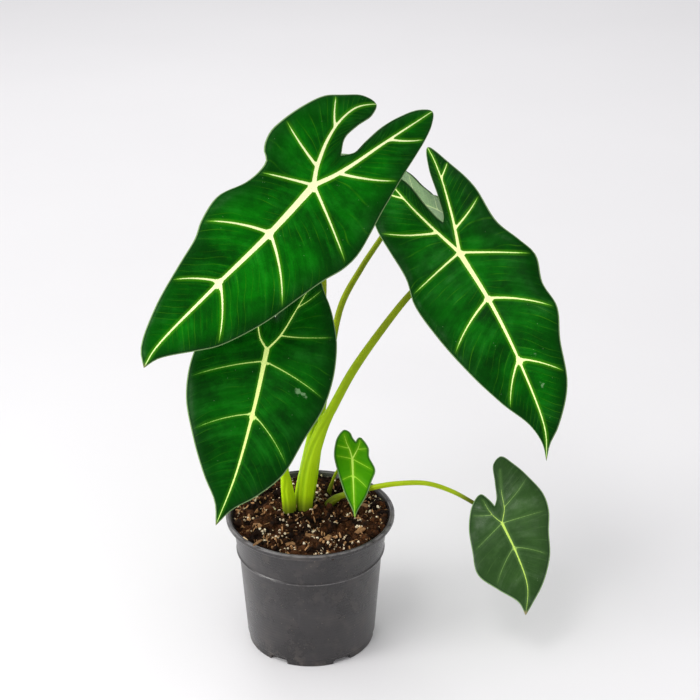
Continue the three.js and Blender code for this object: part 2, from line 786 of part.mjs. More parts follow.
for (const [name, leaf] of Object.entries(LEAVES)) {
  const colour = name === "pup" ? COLOURS.young : COLOURS.dark;
  addPiece(`${name}_blade`, bladeSolid(leaf), colour, 0.5);
}

addPiece("potting_mix", subtractAll(plugOfMix(), buried), COLOURS.mix, 0.95);

BARK.forEach((chip, index) => {
  addPiece(`bark_chip_${index + 1}`, barkSolid(chip), COLOURS.bark, 0.85);
});

export default group;
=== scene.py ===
"""Looks of a potted alocasia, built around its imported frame.

Velvety arrow-shaped blades with pale veins stand on slender sheathed stems in a round nursery pot
of potting mix. Sizes below are millimetres until they become mesh; Blender objects are in metres.
"""

import logging
import math
from collections.abc import Sequence
from dataclasses import dataclass, field
from enum import Enum
from functools import cache

import bmesh
import bpy
import numpy as np
from bpy.types import Material, Mesh, Modifier, Node, NodeOutputs, NodeSocket, NodeTree, Object
from mathutils import Matrix, Vector, noise

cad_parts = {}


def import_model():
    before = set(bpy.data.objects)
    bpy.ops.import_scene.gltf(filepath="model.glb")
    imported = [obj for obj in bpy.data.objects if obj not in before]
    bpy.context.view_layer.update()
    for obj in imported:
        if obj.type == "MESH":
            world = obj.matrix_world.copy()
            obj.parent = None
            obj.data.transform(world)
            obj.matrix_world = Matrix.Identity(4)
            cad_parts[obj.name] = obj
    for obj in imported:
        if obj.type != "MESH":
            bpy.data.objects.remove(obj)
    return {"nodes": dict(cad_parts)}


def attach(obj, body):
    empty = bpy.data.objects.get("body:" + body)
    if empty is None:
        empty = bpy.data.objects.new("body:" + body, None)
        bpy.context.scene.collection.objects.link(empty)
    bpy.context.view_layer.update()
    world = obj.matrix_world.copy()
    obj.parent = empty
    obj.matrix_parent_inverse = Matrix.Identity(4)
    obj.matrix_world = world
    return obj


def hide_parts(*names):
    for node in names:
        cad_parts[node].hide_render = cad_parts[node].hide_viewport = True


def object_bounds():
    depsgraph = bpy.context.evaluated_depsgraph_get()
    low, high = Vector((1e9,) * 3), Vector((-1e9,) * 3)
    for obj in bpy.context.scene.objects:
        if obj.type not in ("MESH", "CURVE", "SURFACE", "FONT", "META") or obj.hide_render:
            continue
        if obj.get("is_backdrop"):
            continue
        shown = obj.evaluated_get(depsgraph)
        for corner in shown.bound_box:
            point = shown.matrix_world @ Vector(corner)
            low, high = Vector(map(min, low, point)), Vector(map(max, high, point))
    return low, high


LOG = logging.getLogger("potted_alocasia")
MM = 0.001
BODY = "root"

Colour = tuple[float, float, float]
Point = tuple[float, ...]
Faces = list[tuple[int, ...]]

SOIL = 98.0  # height of the mix at the stems, which the plant's own heights are counted from
FOLD_RADIUS = 4.0  # how sharply a blade folds at its midrib


@dataclass(frozen=True)
class PotSize:
    """Sizes of the nursery pot."""

    height: float = 102
    rim_radius: float = 60
    rim_height: float = 4
    mouth_radius: float = 57
    band_top: float = 55.5
    band_bottom: float = 52.5
    band_height: float = 28.5
    body_top: float = 51.3
    body_bottom: float = 46.5
    foot_radius: float = 45.5
    foot_height: float = 5
    foot_width: float = 3.5
    wall: float = 1.2
    floor: float = 1.6
    centre_radius: float = 30
    floor_rise: float = 3
    rise_run: float = 4
    notches: int = 6
    notch_width: float = 13
    notch_height: float = 3.4


class Skin(Enum):
    """The object's finishes, by the names of their materials."""

    VELVET_BLADE = "velvet_blade"
    DEEP_BLADE = "deep_blade"
    SHADED_BLADE = "shaded_blade"
    THIN_BLADE = "thin_blade"
    YOUNG_BLADE = "young_blade"
    UNDERSIDE = "blade_underside"
    YOUNG_UNDERSIDE = "young_underside"
    PETIOLE = "petiole_skin"
    THIN_PETIOLE = "thin_petiole_skin"
    POT = "pot_plastic"
    PEAT = "mix_peat"
    BARK = "mix_bark"
    PERLITE = "mix_perlite"
    CORK = "rootstock_cork"


# ---- lines and meshes


def smooth_line(points: Sequence[Point], count: int) -> np.ndarray:
    """Draws a centripetal Catmull-Rom line through points.

    Args:
        points: the points that the line passes through.
        count: how many evenly spaced points to return.

    Returns:
        An array of count points along the line.
    """
    given = np.asarray(points, float)
    padded = np.vstack([2 * given[0] - given[1], given, 2 * given[-1] - given[-2]])
    gaps = np.maximum(np.linalg.norm(np.diff(padded, axis=0), axis=1) ** 0.5, 1e-9)
    share = np.linspace(0, 1, 25)[:, None]
    dense = [given[:1]]
    for i in range(1, len(padded) - 2):
        before, start, end, after = padded[i - 1 : i + 3]
        g0, g1, g2 = gaps[i - 1 : i + 2]
        leave = ((start - before) / g0 - (end - before) / (g0 + g1) + (end - start) / g1) * g1
        arrive = ((end - start) / g1 - (after - start) / (g1 + g2) + (after - end) / g2) * g1
        square, cube = share**2, share**3
        stretch = (2 * cube - 3 * square + 1) * start + (cube - 2 * square + share) * leave
        stretch = stretch + (3 * square - 2 * cube) * end + (cube - square) * arrive
        dense.append(stretch[1:])
    return respaced(np.vstack(dense), count)


def respaced(line: np.ndarray, count: int) -> np.ndarray:
    """Spaces a line's points evenly.

    Args:
        line: the line.
        count: how many points to return.

    Returns:
        Points at even distances along it.
    """
    run = np.concatenate([[0], np.cumsum(np.linalg.norm(np.diff(line, axis=0), axis=1))])
    even = np.linspace(0, run[-1], count)
    return np.stack([np.interp(even, run, line[:, axis]) for axis in range(line.shape[1])], 1)


def at_place(line: np.ndarray, place: np.ndarray) -> np.ndarray:
    """Returns the points at fractional indices of a line."""
    index = np.arange(len(line))
    return np.stack([np.interp(place, index, line[:, axis]) for axis in range(line.shape[1])], 1)


def grid_faces(rows: int, columns: int, ring: bool = False, first: int = 0) -> Faces:
    """Lists the quads of a grid of vertices.

    Args:
        rows: how many rows the grid has.
        columns: how many vertices a row has.
        ring: whether a row closes on itself.
        first: index of the grid's first vertex.

    Returns:
        One tuple of four vertex indices for each face.
    """
    faces = []
    for row in range(rows - 1):
        for column in range(columns if ring else columns - 1):
            after = (column + 1) % columns
            low, high = first + row * columns, first + (row + 1) * columns
            faces.append((low + column, low + after, high + after, high + column))
    return faces


@dataclass
class MeshDraft:
    """Vertices, faces and values for each vertex of a mesh that is being made, in metres."""

    spots: list[np.ndarray] = field(default_factory=list)
    faces: Faces = field(default_factory=list)
    finish_of_face: list[int] = field(default_factory=list)
    values: dict[str, list[np.ndarray]] = field(default_factory=dict)
    count: int = 0

    def add(
        self,
        spots: np.ndarray,
        faces: Sequence[Sequence[int]],
        finish: int = 0,
        **values: np.ndarray,
    ) -> int:
        """Adds vertices and the faces between them.

        Args:
            spots: the new vertices.
            faces: faces that count from the first new vertex.
            finish: index of the faces' material.
            **values: one number or pair for each new vertex, by attribute name.

        Returns:
            Index of the first new vertex.
        """
        first = self.count
        self.spots.append(np.asarray(spots, float))
        self.count += len(spots)
        self.faces += [tuple(int(corner) + first for corner in face) for face in faces]
        self.finish_of_face += [finish] * len(faces)
        for name, value in values.items():
            self.values.setdefault(name, []).append(np.asarray(value, float))
        return first

    def build(self, name: str, finishes: Sequence[Material]) -> Object:
        """Turns the draft into an object at the origin.

        Args:
            name: the piece's name.
            finishes: its materials, in the order of the faces' indices.

        Returns:
            The new object, shaded smooth.
        """
        mesh = bpy.data.meshes.new(name)
        mesh.from_pydata(np.vstack(self.spots).tolist(), [], self.faces)
        for finish in finishes:
            mesh.materials.append(finish)
        mesh.polygons.foreach_set("material_index", self.finish_of_face)
        mesh.polygons.foreach_set("use_smooth", [True] * len(mesh.polygons))
        corners = np.zeros(len(mesh.loops), np.int32)
        mesh.loops.foreach_get("vertex_index", corners)
        for value_name, blocks in self.values.items():
            value = np.concatenate(blocks)
            if value.ndim == 2:
                layer = mesh.uv_layers.new(name=value_name)
                layer.data.foreach_set("uv", value[corners].ravel().astype(np.float32))
            else:
                layer = mesh.attributes.new(value_name, "FLOAT", "POINT")
                layer.data.foreach_set("value", value.astype(np.float32))
        mesh.update()
        return add_object(name, mesh)


def add_object(name: str, data: Mesh | bpy.types.Light | bpy.types.Camera) -> Object:
    """Adds an object at the origin.

    Args:
        name: its name.
        data: its mesh, light or camera.

    Returns:
        The object.
    """
    made = bpy.data.objects.new(name, data)
    bpy.context.scene.collection.objects.link(made)
    return made


def evaluated_copy(piece: Object) -> Mesh:
    """Evaluates a piece.

    Args:
        piece: the piece.

    Returns:
        Its mesh as its modifiers leave it.
    """
    bpy.context.view_layer.update()
    graph = bpy.context.evaluated_depsgraph_get()
    return bpy.data.meshes.new_from_object(piece.evaluated_get(graph))


def finish_modifiers(piece: Object) -> None:
    """Applies a piece's modifiers for good.

    Args:
        piece: the piece.
    """
    mesh = evaluated_copy(piece)
    piece.modifiers.clear()
    piece.data = mesh


# ---- node building


class Nodes:
    """A short way to write a node tree: each call adds a node and joins its inputs."""

    def __init__(self, tree: NodeTree) -> None:
        """Takes the tree to add to."""
        self.tree = tree

    def add(self, kind: str, inputs: dict | None = None, **settings: object) -> Node:
        """Adds a node.

        Args:
            kind: the node's type name.
            inputs: a value or a socket to join, by input name or index.
            **settings: properties of the node.

        Returns:
            The new node.
        """
        node = self.tree.nodes.new(kind)
        for name, value in settings.items():
            setattr(node, name, value)
        for key, value in (inputs or {}).items():
            socket = node.inputs[key]
            if isinstance(value, NodeSocket):
                self.tree.links.new(value, socket)
            else:
                socket.default_value = value
        return node

    def math(self, operation: str, *values: object, clamp: bool = False) -> NodeSocket:
        """Adds a Math node with numbers or sockets as its values, and returns its result."""
        inputs = dict(enumerate(values))
        return self.add("ShaderNodeMath", inputs, operation=operation, use_clamp=clamp).outputs[0]

    def mix(self, share: object, low: object, high: object) -> NodeSocket:
        """Adds a mix of two colours.

        Args:
            share: how much of the second there is.
            low: the first colour, or a socket.
            high: the second colour, or a socket.

        Returns:
            The mixed colour.
        """
        ends = [(*end, 1) if isinstance(end, tuple) and len(end) == 3 else end for end in (low, high)]
        inputs = {"Factor": share, 6: ends[0], 7: ends[1]}
        return self.add("ShaderNodeMix", inputs, data_type="RGBA").outputs[2]

    def tint(self, colour: object, mask: object, share: float, over: object) -> NodeSocket:
        """Lays a share of another colour over a colour where a mask is 1."""
        return self.mix(self.math("MULTIPLY", mask, share), colour, over)

    def ramp(self, value: object, low: float, high: float) -> NodeSocket:
        """Adds a smooth step from 0, at value low, to 1, at value high."""
        inputs = {"Value": value, "From Min": low, "From Max": high}
        return self.add("ShaderNodeMapRange", inputs, interpolation_type="SMOOTHSTEP").outputs[0]

    def noise(
        self, vector: object, scale: object, detail: float = 3, rough: float = 0.5, output: str = "Fac"
    ) -> NodeSocket:
        """Adds a noise texture and returns one of its outputs."""
        inputs = {"Vector": vector, "Scale": scale, "Detail": detail, "Roughness": rough}
        return self.add("ShaderNodeTexNoise", inputs).outputs[output]

    def random(self, low: object, high: object, seed: object) -> NodeSocket:
        """Adds a random number or vector for each element.

        Args:
            low: the least value.
            high: the most; a vector, or a vector socket, makes the result a vector.
            seed: picks the values.

        Returns:
            The values.
        """
        vector = isinstance(high, tuple) or getattr(high, "type", "") == "VECTOR"
        first = 0 if vector else 2
        inputs = {first: low, first + 1: high, "Seed": seed}
        kind = "FLOAT_VECTOR" if vector else "FLOAT"
        return self.add("FunctionNodeRandomValue", inputs, data_type=kind).outputs[0 if vector else 1]

    def vector(self, operation: str, first: object, second: object) -> NodeSocket:
        """Adds a Vector Math node and returns its vector; second is the number that SCALE scales by."""
        inputs = {0: first, "Scale" if operation == "SCALE" else 1: second}
        return self.add("ShaderNodeVectorMath", inputs, operation=operation).outputs[0]

    def attribute(self, name: str) -> NodeSocket:
        """Reads a number stored on the mesh."""
        return self.add("ShaderNodeAttribute", attribute_name=name).outputs["Fac"]

    def stretched(self, vector: object, scale: Point) -> NodeSocket:
        """Stretches a pattern's coordinates."""
        return self.add("ShaderNodeMapping", {"Vector": vector, "Scale": scale}).outputs[0]


class GroupBuilder(Nodes):
    """A node group that is built once, with named inputs and outputs."""

    def __init__(self, name: str, kind: str, inputs: dict[str, tuple], outputs: dict[str, str]) -> None:
        """Makes the empty group.

        Args:
            name: the group's name.
            kind: ShaderNodeTree or GeometryNodeTree.
            inputs: socket type, then its default, by input name.
            outputs: socket type by output name.
        """
        super().__init__(bpy.data.node_groups.new(name, kind))
        for label, (socket, *default) in inputs.items():
            made = self.tree.interface.new_socket(label, in_out="INPUT", socket_type=socket)
            if default:
                made.default_value = default[0]
        for label, socket in outputs.items():
            self.tree.interface.new_socket(label, in_out="OUTPUT", socket_type=socket)
        self.given = self.add("NodeGroupInput").outputs
        self.result = self.add("NodeGroupOutput")

    def give(self, **results: NodeSocket) -> NodeTree:
        """Joins results to the group's outputs.

        Args:
            **results: sockets by output name.

        Returns:
            The tree.
        """
        for label, socket in results.items():
            self.tree.links.new(socket, self.result.inputs[label.replace("_", " ")])
        return self.tree


class SharedEffects:
    """Effects that several finishes use, each a shader node group built on first use."""

    @cache
    def mottle(self) -> NodeTree:
        """Builds cloudy variation at two scales.

        Returns:
            A group that gives a mask and a fine height.
        """
        inputs = {
            "Vector": ("NodeSocketVector",),
            "Broad": ("NodeSocketFloat", 40.0),
            "Fine": ("NodeSocketFloat", 700.0),
        }
        outputs = dict.fromkeys(("Mask", "Height"), "NodeSocketFloat")
        group = GroupBuilder("mottle", "ShaderNodeTree", inputs, outputs)
        vector = group.given["Vector"]
        broad = group.noise(vector, group.given["Broad"], 3.0)
        fine = group.noise(vector, group.given["Fine"], 2.0)
        return group.give(Mask=group.ramp(broad, 0.32, 0.68), Height=fine)

    @cache
    def specks(self) -> NodeTree:
        """Builds sparse round specks, such as dust or grit.

        Returns:
            A group that gives their mask.
        """
        inputs = {
            "Vector": ("NodeSocketVector",),
            "Scale": ("NodeSocketFloat", 300.0),
            "Size": ("NodeSocketFloat", 0.2),
            "Amount": ("NodeSocketFloat", 0.2),
        }
        group = GroupBuilder("specks", "ShaderNodeTree", inputs, {"Mask": "NodeSocketFloat"})
        given = group.given
        cells = group.add("ShaderNodeTexVoronoi", {"Vector": given["Vector"], "Scale": given["Scale"]})
        lot = group.add("ShaderNodeSeparateColor", {0: cells.outputs["Color"]}).outputs[0]
        chosen = group.math("LESS_THAN", lot, given["Amount"])
        near = group.math("SUBTRACT", given["Size"], cells.outputs["Distance"])
        return group.give(Mask=group.math("MULTIPLY", group.ramp(near, 0.0, 0.08), chosen))

    @cache
    def veins(self) -> NodeTree:
        """Builds a blade's main veins, their halo, its fine side veins and net, and its margin.

        Returns:
            A group that gives them as masks, and their height.
        """
        inputs = {"Flow": ("NodeSocketVector",), "Spacing": ("NodeSocketFloat", 0.0052)}
        outputs = dict.fromkeys(("Vein", "Halo", "Fine", "Net", "Margin", "Height"), "NodeSocketFloat")
        group = GroupBuilder("veins", "ShaderNodeTree", inputs, outputs)
        flow = group.given["Flow"]
        tone = group.attribute("vein_tone")
        ragged = group.math("MULTIPLY_ADD", group.noise(flow, 700.0), 0.0004, -0.0002)
        edge = group.math("ADD", group.attribute("vein_edge"), ragged)
        vein = group.math("MULTIPLY", group.ramp(edge, 0.0002, -0.0002), tone)
        halo = group.math("MULTIPLY", group.ramp(edge, 0.0022, 0.0), tone)
        wobble = group.math("MULTIPLY", group.noise(flow, 26.0, 1), 0.016)
        station = group.add("ShaderNodeSeparateXYZ", {0: flow}).outputs[0]
        phase = group.math("DIVIDE", group.math("ADD", station, wobble), group.given["Spacing"])
        line = group.math("PINGPONG", phase, 0.5)
        broken = group.ramp(group.noise(flow, 45.0, 2), 0.40, 0.66)
        fine = group.math("MULTIPLY", group.ramp(line, 0.075, 0.0), broken)
        cells = {"Vector": flow, "Scale": 520.0}
        cells = group.add("ShaderNodeTexVoronoi", cells, feature="DISTANCE_TO_EDGE").outputs
        net = group.ramp(cells["Distance"], 0.10, 0.0)
        margin = group.ramp(group.attribute("to_margin"), 0.0009, 0.0003)
        height = group.math("MULTIPLY_ADD", fine, -0.35, group.math("MULTIPLY", net, -0.08))
        height = group.math("ADD", height, group.math("MULTIPLY", vein, 0.5))
        return group.give(Vein=vein, Halo=halo, Fine=fine, Net=net, Margin=margin, Height=height)


# ---- finishes


class Finish:
    """A material with a Principled shader that subclasses join patterns to."""

    effects = SharedEffects()

    def start(self, name: str, **constants: object) -> tuple[Nodes, Node, Material]:
        """Makes the material and its shader.

        Args:
            name: the material's name.
            **constants: values for the shader's own sockets, with underscores for spaces.

        Returns:
            The node writer, the shader and the material.
        """
        material = bpy.data.materials.new(name)
        material.use_nodes = True
        shader = material.node_tree.nodes["Principled BSDF"]
        for label, value in constants.items():
            shader.inputs[label.replace("_", " ")].default_value = value
        return Nodes(material.node_tree), shader, material

    def effect(self, nodes: Nodes, group: NodeTree, **inputs: object) -> NodeOutputs:
        """Places a shared effect.

        Args:
            nodes: writes the material's nodes.
            group: the effect.
            **inputs: a number or a socket for each input.

        Returns:
            The effect's outputs.
        """
        node = nodes.add("ShaderNodeGroup", node_tree=group)
        for label, value in inputs.items():
            if isinstance(value, NodeSocket):
                nodes.tree.links.new(value, node.inputs[label])
            else:
                node.inputs[label].default_value = value
        return node.outputs

    def join(self, nodes: Nodes, shader: Node, colour: object, rough: object, height: object,
             relief: float) -> None:
        """Joins colour, roughness and a bump to the shader.

        Args:
            nodes: writes the material's nodes.
            shader: the material's shader.
            colour: its colour.
            rough: its roughness.
            height: the bump's height, from 0 to 1.
            relief: what a height of 1 stands for, in metres.
        """
        nodes.tree.links.new(colour, shader.inputs["Base Color"])
        nodes.tree.links.new(rough, shader.inputs["Roughness"])
        bump = nodes.add("ShaderNodeBump", {"Height": height, "Distance": relief, "Strength": 1.0})
        nodes.tree.links.new(bump.outputs[0], shader.inputs["Normal"])


@dataclass(frozen=True)
class BladeFinish(Finish):
    """The upper face of a blade: dark velvet between pale veins, with painted highlights and shade, dust and
    a few dry scars.
    """

    skin: Skin
    deep: Colour = (0.0, 0.034, 0.0002)
    lit: Colour = (0.0010, 0.215, 0.0004)
    vein: Colour = (0.96, 1.0, 0.56)
    vein_edge: Colour = (0.24, 0.60, 0.05)
    halo: Colour = (0.10, 0.40, 0.004)
    dry_tip: Colour = (0.10, 0.11, 0.03)
    dust: Colour = (0.34, 0.52, 0.28)
    edge_shadow: Colour = (0.002, 0.022, 0.004)
    rim: Colour = (0.26, 0.42, 0.17)
    scar: Colour = (0.20, 0.36, 0.17)
    fine_share: float = 0.22
    dust_share: float = 0.4
    roughness: float = 0.5
    shine: float = 0.03
    gloss: float = 0.035

    def make(self) -> Material:
        """Builds the material.

        Returns:
            The material, with its nodes joined.
        """
        constants = {"Specular_IOR_Level": self.shine, "Coat_Roughness": 0.36}
        nodes, shader, material = self.start(self.skin.value, **constants)
        flow = nodes.add("ShaderNodeUVMap", uv_map="flow").outputs[0]
        space = nodes.add("ShaderNodeTexCoord").outputs["Object"]
        veins = self.effect(nodes, self.effects.veins(), Flow=flow)
        mottle = self.effect(nodes, self.effects.mottle(), Vector=space, Broad=34.0, Fine=1500.0)
        streaks = nodes.ramp(nodes.noise(nodes.stretched(flow, (1, 0.13, 1)), 150.0, 4, 0.6), 0.42, 0.72)
        clouds = nodes.ramp(nodes.noise(space, 75.0, 5, 0.68), 0.36, 0.66)
        dust = self.effect(nodes, self.effects.specks(), Vector=space, Scale=800.0, Size=0.2, Amount=0.012)
        inner = nodes.ramp(nodes.attribute("to_margin"), 0.0005, 0.020)
        # painted light: streaks, clouds and mottle move the deep green towards the lit green as painted
        # highlights and lit patches, and inner keeps it deep near the margin as painted shade
        share = nodes.math("MULTIPLY_ADD", streaks, 0.36, nodes.math("MULTIPLY", mottle["Mask"], 0.36))
        share = nodes.math("MULTIPLY_ADD", clouds, 0.26, share)
        share = nodes.math("MULTIPLY", share, nodes.math("MULTIPLY_ADD", inner, 0.75, 0.25), clamp=True)
        colour = nodes.mix(share, self.deep, self.lit)
        colour = nodes.tint(colour, veins["Halo"], 0.42, self.halo)
        colour = nodes.tint(colour, veins["Fine"], self.fine_share, self.halo)
        colour = nodes.tint(colour, dust["Mask"], self.dust_share, self.dust)
        edge_dark = nodes.ramp(nodes.attribute("to_margin"), 0.0022, 0.0008)
        colour = nodes.tint(colour, edge_dark, 0.6, self.edge_shadow)
        colour = nodes.tint(colour, veins["Margin"], 0.68, self.rim)
        colour = nodes.mix(nodes.ramp(veins["Vein"], 0.0, 0.6), colour, self.vein_edge)
        colour = nodes.mix(nodes.ramp(veins["Vein"], 0.45, 1.0), colour, self.vein)
        torn = nodes.math("MULTIPLY_ADD", nodes.noise(space, 240.0, 5, 0.65), 0.011, -0.0055)
        scar = nodes.ramp(nodes.math("ADD", nodes.attribute("scar_gap"), torn), -0.0006, -0.0022)
        colour = nodes.tint(colour, scar, 0.6, self.scar)
        dry = nodes.ramp(nodes.attribute("to_tip"), 0.0045, 0.0012)
        colour = nodes.tint(colour, dry, 0.85, self.dry_tip)
        rough = nodes.math("MULTIPLY_ADD", mottle["Mask"], 0.10, self.roughness)
        rough = nodes.math("MULTIPLY_ADD", veins["Vein"], -0.08, rough)
        satin = nodes.math("MULTIPLY", nodes.math("MULTIPLY", streaks, clouds), self.gloss * 5)
        nodes.tree.links.new(nodes.math("ADD", satin, self.gloss), shader.inputs["Coat Weight"])
        height = nodes.math("MULTIPLY_ADD", mottle["Height"], 0.22, veins["Height"])
        self.join(nodes, shader, colour, rough, height, 0.0003)
        return material


@dataclass(frozen=True)
class UndersideFinish(Finish):
    """The underside of a blade: matt grey-green with raised, paler ribs."""

    skin: Skin
    base: Colour = (0.098, 0.205, 0.074)
    cloud: Colour = (0.158, 0.285, 0.118)
    vein: Colour = (0.42, 0.56, 0.24)

    def make(self) -> Material:
        """Builds the material.

        Returns:
            The material, with its nodes joined.
        """
        nodes, shader, material = self.start(self.skin.value, Sheen_Weight=0.12, Specular_IOR_Level=0.3)
        flow = nodes.add("ShaderNodeUVMap", uv_map="flow").outputs[0]
        space = nodes.add("ShaderNodeTexCoord").outputs["Object"]
        veins = self.effect(nodes, self.effects.veins(), Flow=flow)
        mottle = self.effect(nodes, self.effects.mottle(), Vector=space, Broad=45.0, Fine=1200.0)
        colour = nodes.mix(mottle["Mask"], self.base, self.cloud)
        colour = nodes.tint(colour, veins["Fine"], 0.4, self.vein)
        colour = nodes.tint(colour, veins["Net"], 0.25, self.vein)
        colour = nodes.mix(veins["Vein"], colour, self.vein)
        rough = nodes.math("MULTIPLY_ADD", mottle["Mask"], 0.1, 0.55)
        height = nodes.math("MULTIPLY", veins["Fine"], 0.5)
        height = nodes.math("MULTIPLY_ADD", mottle["Height"], 0.25, height)
        self.join(nodes, shader, colour, rough, height, 0.0003)
        return material


@dataclass(frozen=True)
class StemFinish(Finish):
    """A petiole: yellow-green at its base, olive above, with lengthwise streaks, painted shade along its
    groove and fold, and painted shade at its foot by the mix.
    """

    skin: Skin
    base: Colour = (0.40, 0.66, 0.002)
    top: Colour = (0.22, 0.27, 0.008)
    # streak: colour of the real lengthwise streaks, also laid in the groove and fold as painted shade
    streak_and_groove_shade: Colour = (0.15, 0.29, 0.002)
    sheath: Colour = (0.58, 0.82, 0.015)
    # foot: painted shade where the stem meets the mix
    foot: Colour = (0.085, 0.095, 0.010)

    def make(self) -> Material:
        """Builds the material.

        Returns:
            The material, with its nodes joined.
        """
        nodes, shader, material = self.start(
            self.skin.value, Specular_IOR_Level=0.10, Subsurface_Weight=0.12, Subsurface_Scale=0.002,
            Subsurface_Radius=(0.8, 1.0, 0.3),
        )
        flow = nodes.add("ShaderNodeUVMap", uv_map="flow").outputs[0]
        space = nodes.add("ShaderNodeTexCoord").outputs["Object"]
        grain = nodes.noise(nodes.stretched(flow, (1, 0.04, 1)), 1500.0, 4, 0.6)
        flecks = nodes.noise(nodes.stretched(flow, (1, 0.18, 1)), 900.0, 2)
        mottle = self.effect(nodes, self.effects.mottle(), Vector=space, Broad=60.0, Fine=900.0)
        climb = nodes.ramp(nodes.attribute("climb"), 0.01, 0.15)
        colour = nodes.mix(climb, self.base, self.top)
        colour = nodes.tint(colour, nodes.ramp(grain, 0.48, 0.72), 0.24, self.streak_and_groove_shade)
        colour = nodes.tint(colour, nodes.ramp(flecks, 0.62, 0.74), 0.2, self.streak_and_groove_shade)
        colour = nodes.tint(colour, mottle["Mask"], 0.15, self.sheath)
        colour = nodes.tint(colour, nodes.attribute("sheath_edge"), 0.55, self.sheath)
        # painted shade: darkens the groove and the sheath's fold down the stem
        colour = nodes.tint(colour, nodes.attribute("fold"), 0.42, self.streak_and_groove_shade)
        # painted shade: darkens the stem to olive-brown just above the mix
        foot = nodes.ramp(nodes.attribute("climb"), 0.017, 0.002)
        colour = nodes.tint(colour, foot, 0.85, self.foot)
        rough = nodes.math("MULTIPLY_ADD", grain, 0.18, 0.32)
        self.join(nodes, shader, colour, rough, grain, 0.00018)
        return material


@dataclass(frozen=True)
class PotFinish(Finish):
    """Thin recycled plastic: dark grey, satin, with scuffs, dust, a few grains of soil, and painted highlight
    lines along the ledge and the lip's edges.
    """

    skin: Skin
    base: Colour = (0.012, 0.0108, 0.0114)
    worn: Colour = (0.060, 0.055, 0.057)
    dust: Colour = (0.16, 0.135, 0.115)
    # painted highlight: colour of the thin light lines along the ledge and the lip's edges
    painted_edge_highlight: Colour = (0.22, 0.21, 0.21)
    grit: Colour = (0.30, 0.24, 0.18)
    pot: PotSize = PotSize()

    def highlight_edge_heights(self) -> tuple[float, ...]:
        """Returns the heights in metres of the ledge and of the lip's two edges, where a painted highlight
        line runs.
        """
        drops = (self.pot.band_height - 0.2, self.pot.rim_height, 0.7)
        return tuple((self.pot.height - drop) * MM for drop in drops)

    def make(self) -> Material:
        """Builds the material.

        Returns:
            The material, with its nodes joined.
        """
        nodes, shader, material = self.start(self.skin.value, Specular_IOR_Level=0.5)
        space = nodes.add("ShaderNodeTexCoord").outputs["Object"]
        mottle = self.effect(nodes, self.effects.mottle(), Vector=space, Broad=35.0, Fine=2200.0)
        grit = self.effect(nodes, self.effects.specks(), Vector=space, Scale=260.0, Size=0.16, Amount=0.06)
        dots = self.effect(nodes, self.effects.specks(), Vector=space, Scale=700.0, Size=0.22, Amount=0.04)
        height = nodes.add("ShaderNodeSeparateXYZ", {0: space}).outputs[2]
        scuffs = nodes.ramp(nodes.noise(nodes.stretched(space, (1, 1, 0.12)), 260.0, 5, 0.62), 0.56, 0.78)
        near_rim = nodes.ramp(height, 0.085, 0.103)
        near_foot = nodes.ramp(height, 0.016, 0.0)
        smears = nodes.ramp(nodes.noise(space, 95.0, 5, 0.65), 0.46, 0.75)
        film = nodes.math("MULTIPLY", smears, nodes.math("MULTIPLY_ADD", near_foot, 0.5, 0.16))
        film = nodes.math("MULTIPLY_ADD", nodes.math("MULTIPLY", near_rim, smears), 0.12, film)
        colour = nodes.mix(nodes.math("MULTIPLY_ADD", mottle["Mask"], 0.25, 0.12), self.base, self.worn)
        colour = nodes.tint(colour, scuffs, 0.42, self.worn)
        colour = nodes.mix(film, colour, self.dust)
        specks = nodes.math("MULTIPLY_ADD", grit["Mask"], nodes.math("ADD", near_rim, 0.25), dots["Mask"])
        colour = nodes.mix(nodes.math("MULTIPLY", specks, 0.55, clamp=True), colour, self.grit)
        # painted highlight: a thin light line, broken into patches, along the ledge and each edge of the lip
        for edge in self.highlight_edge_heights():
            gap = nodes.math("ABSOLUTE", nodes.math("SUBTRACT", height, edge))
            patchy = nodes.ramp(nodes.noise(space, 140.0, 3), 0.30, 0.60)
            painted_edge_highlight = nodes.math("MULTIPLY", nodes.ramp(gap, 0.0006, 0.0001), patchy)
            colour = nodes.tint(colour, painted_edge_highlight, 0.55, self.painted_edge_highlight)
        rough = nodes.math("MULTIPLY_ADD", mottle["Mask"], 0.08, 0.24)
        rough = nodes.math("MULTIPLY_ADD", film, 0.45, rough)
        rings = nodes.add("ShaderNodeTexWave", {"Vector": space, "Scale": 130.0, "Distortion": 0.2},
                          bands_direction="Z").outputs["Fac"]
        bump = nodes.math("MULTIPLY_ADD", rings, 0.12, nodes.math("MULTIPLY", mottle["Height"], 0.3))
        bump = nodes.math("MULTIPLY_ADD", specks, 0.8, bump)
        self.join(nodes, shader, colour, rough, bump, 0.0002)
        return material


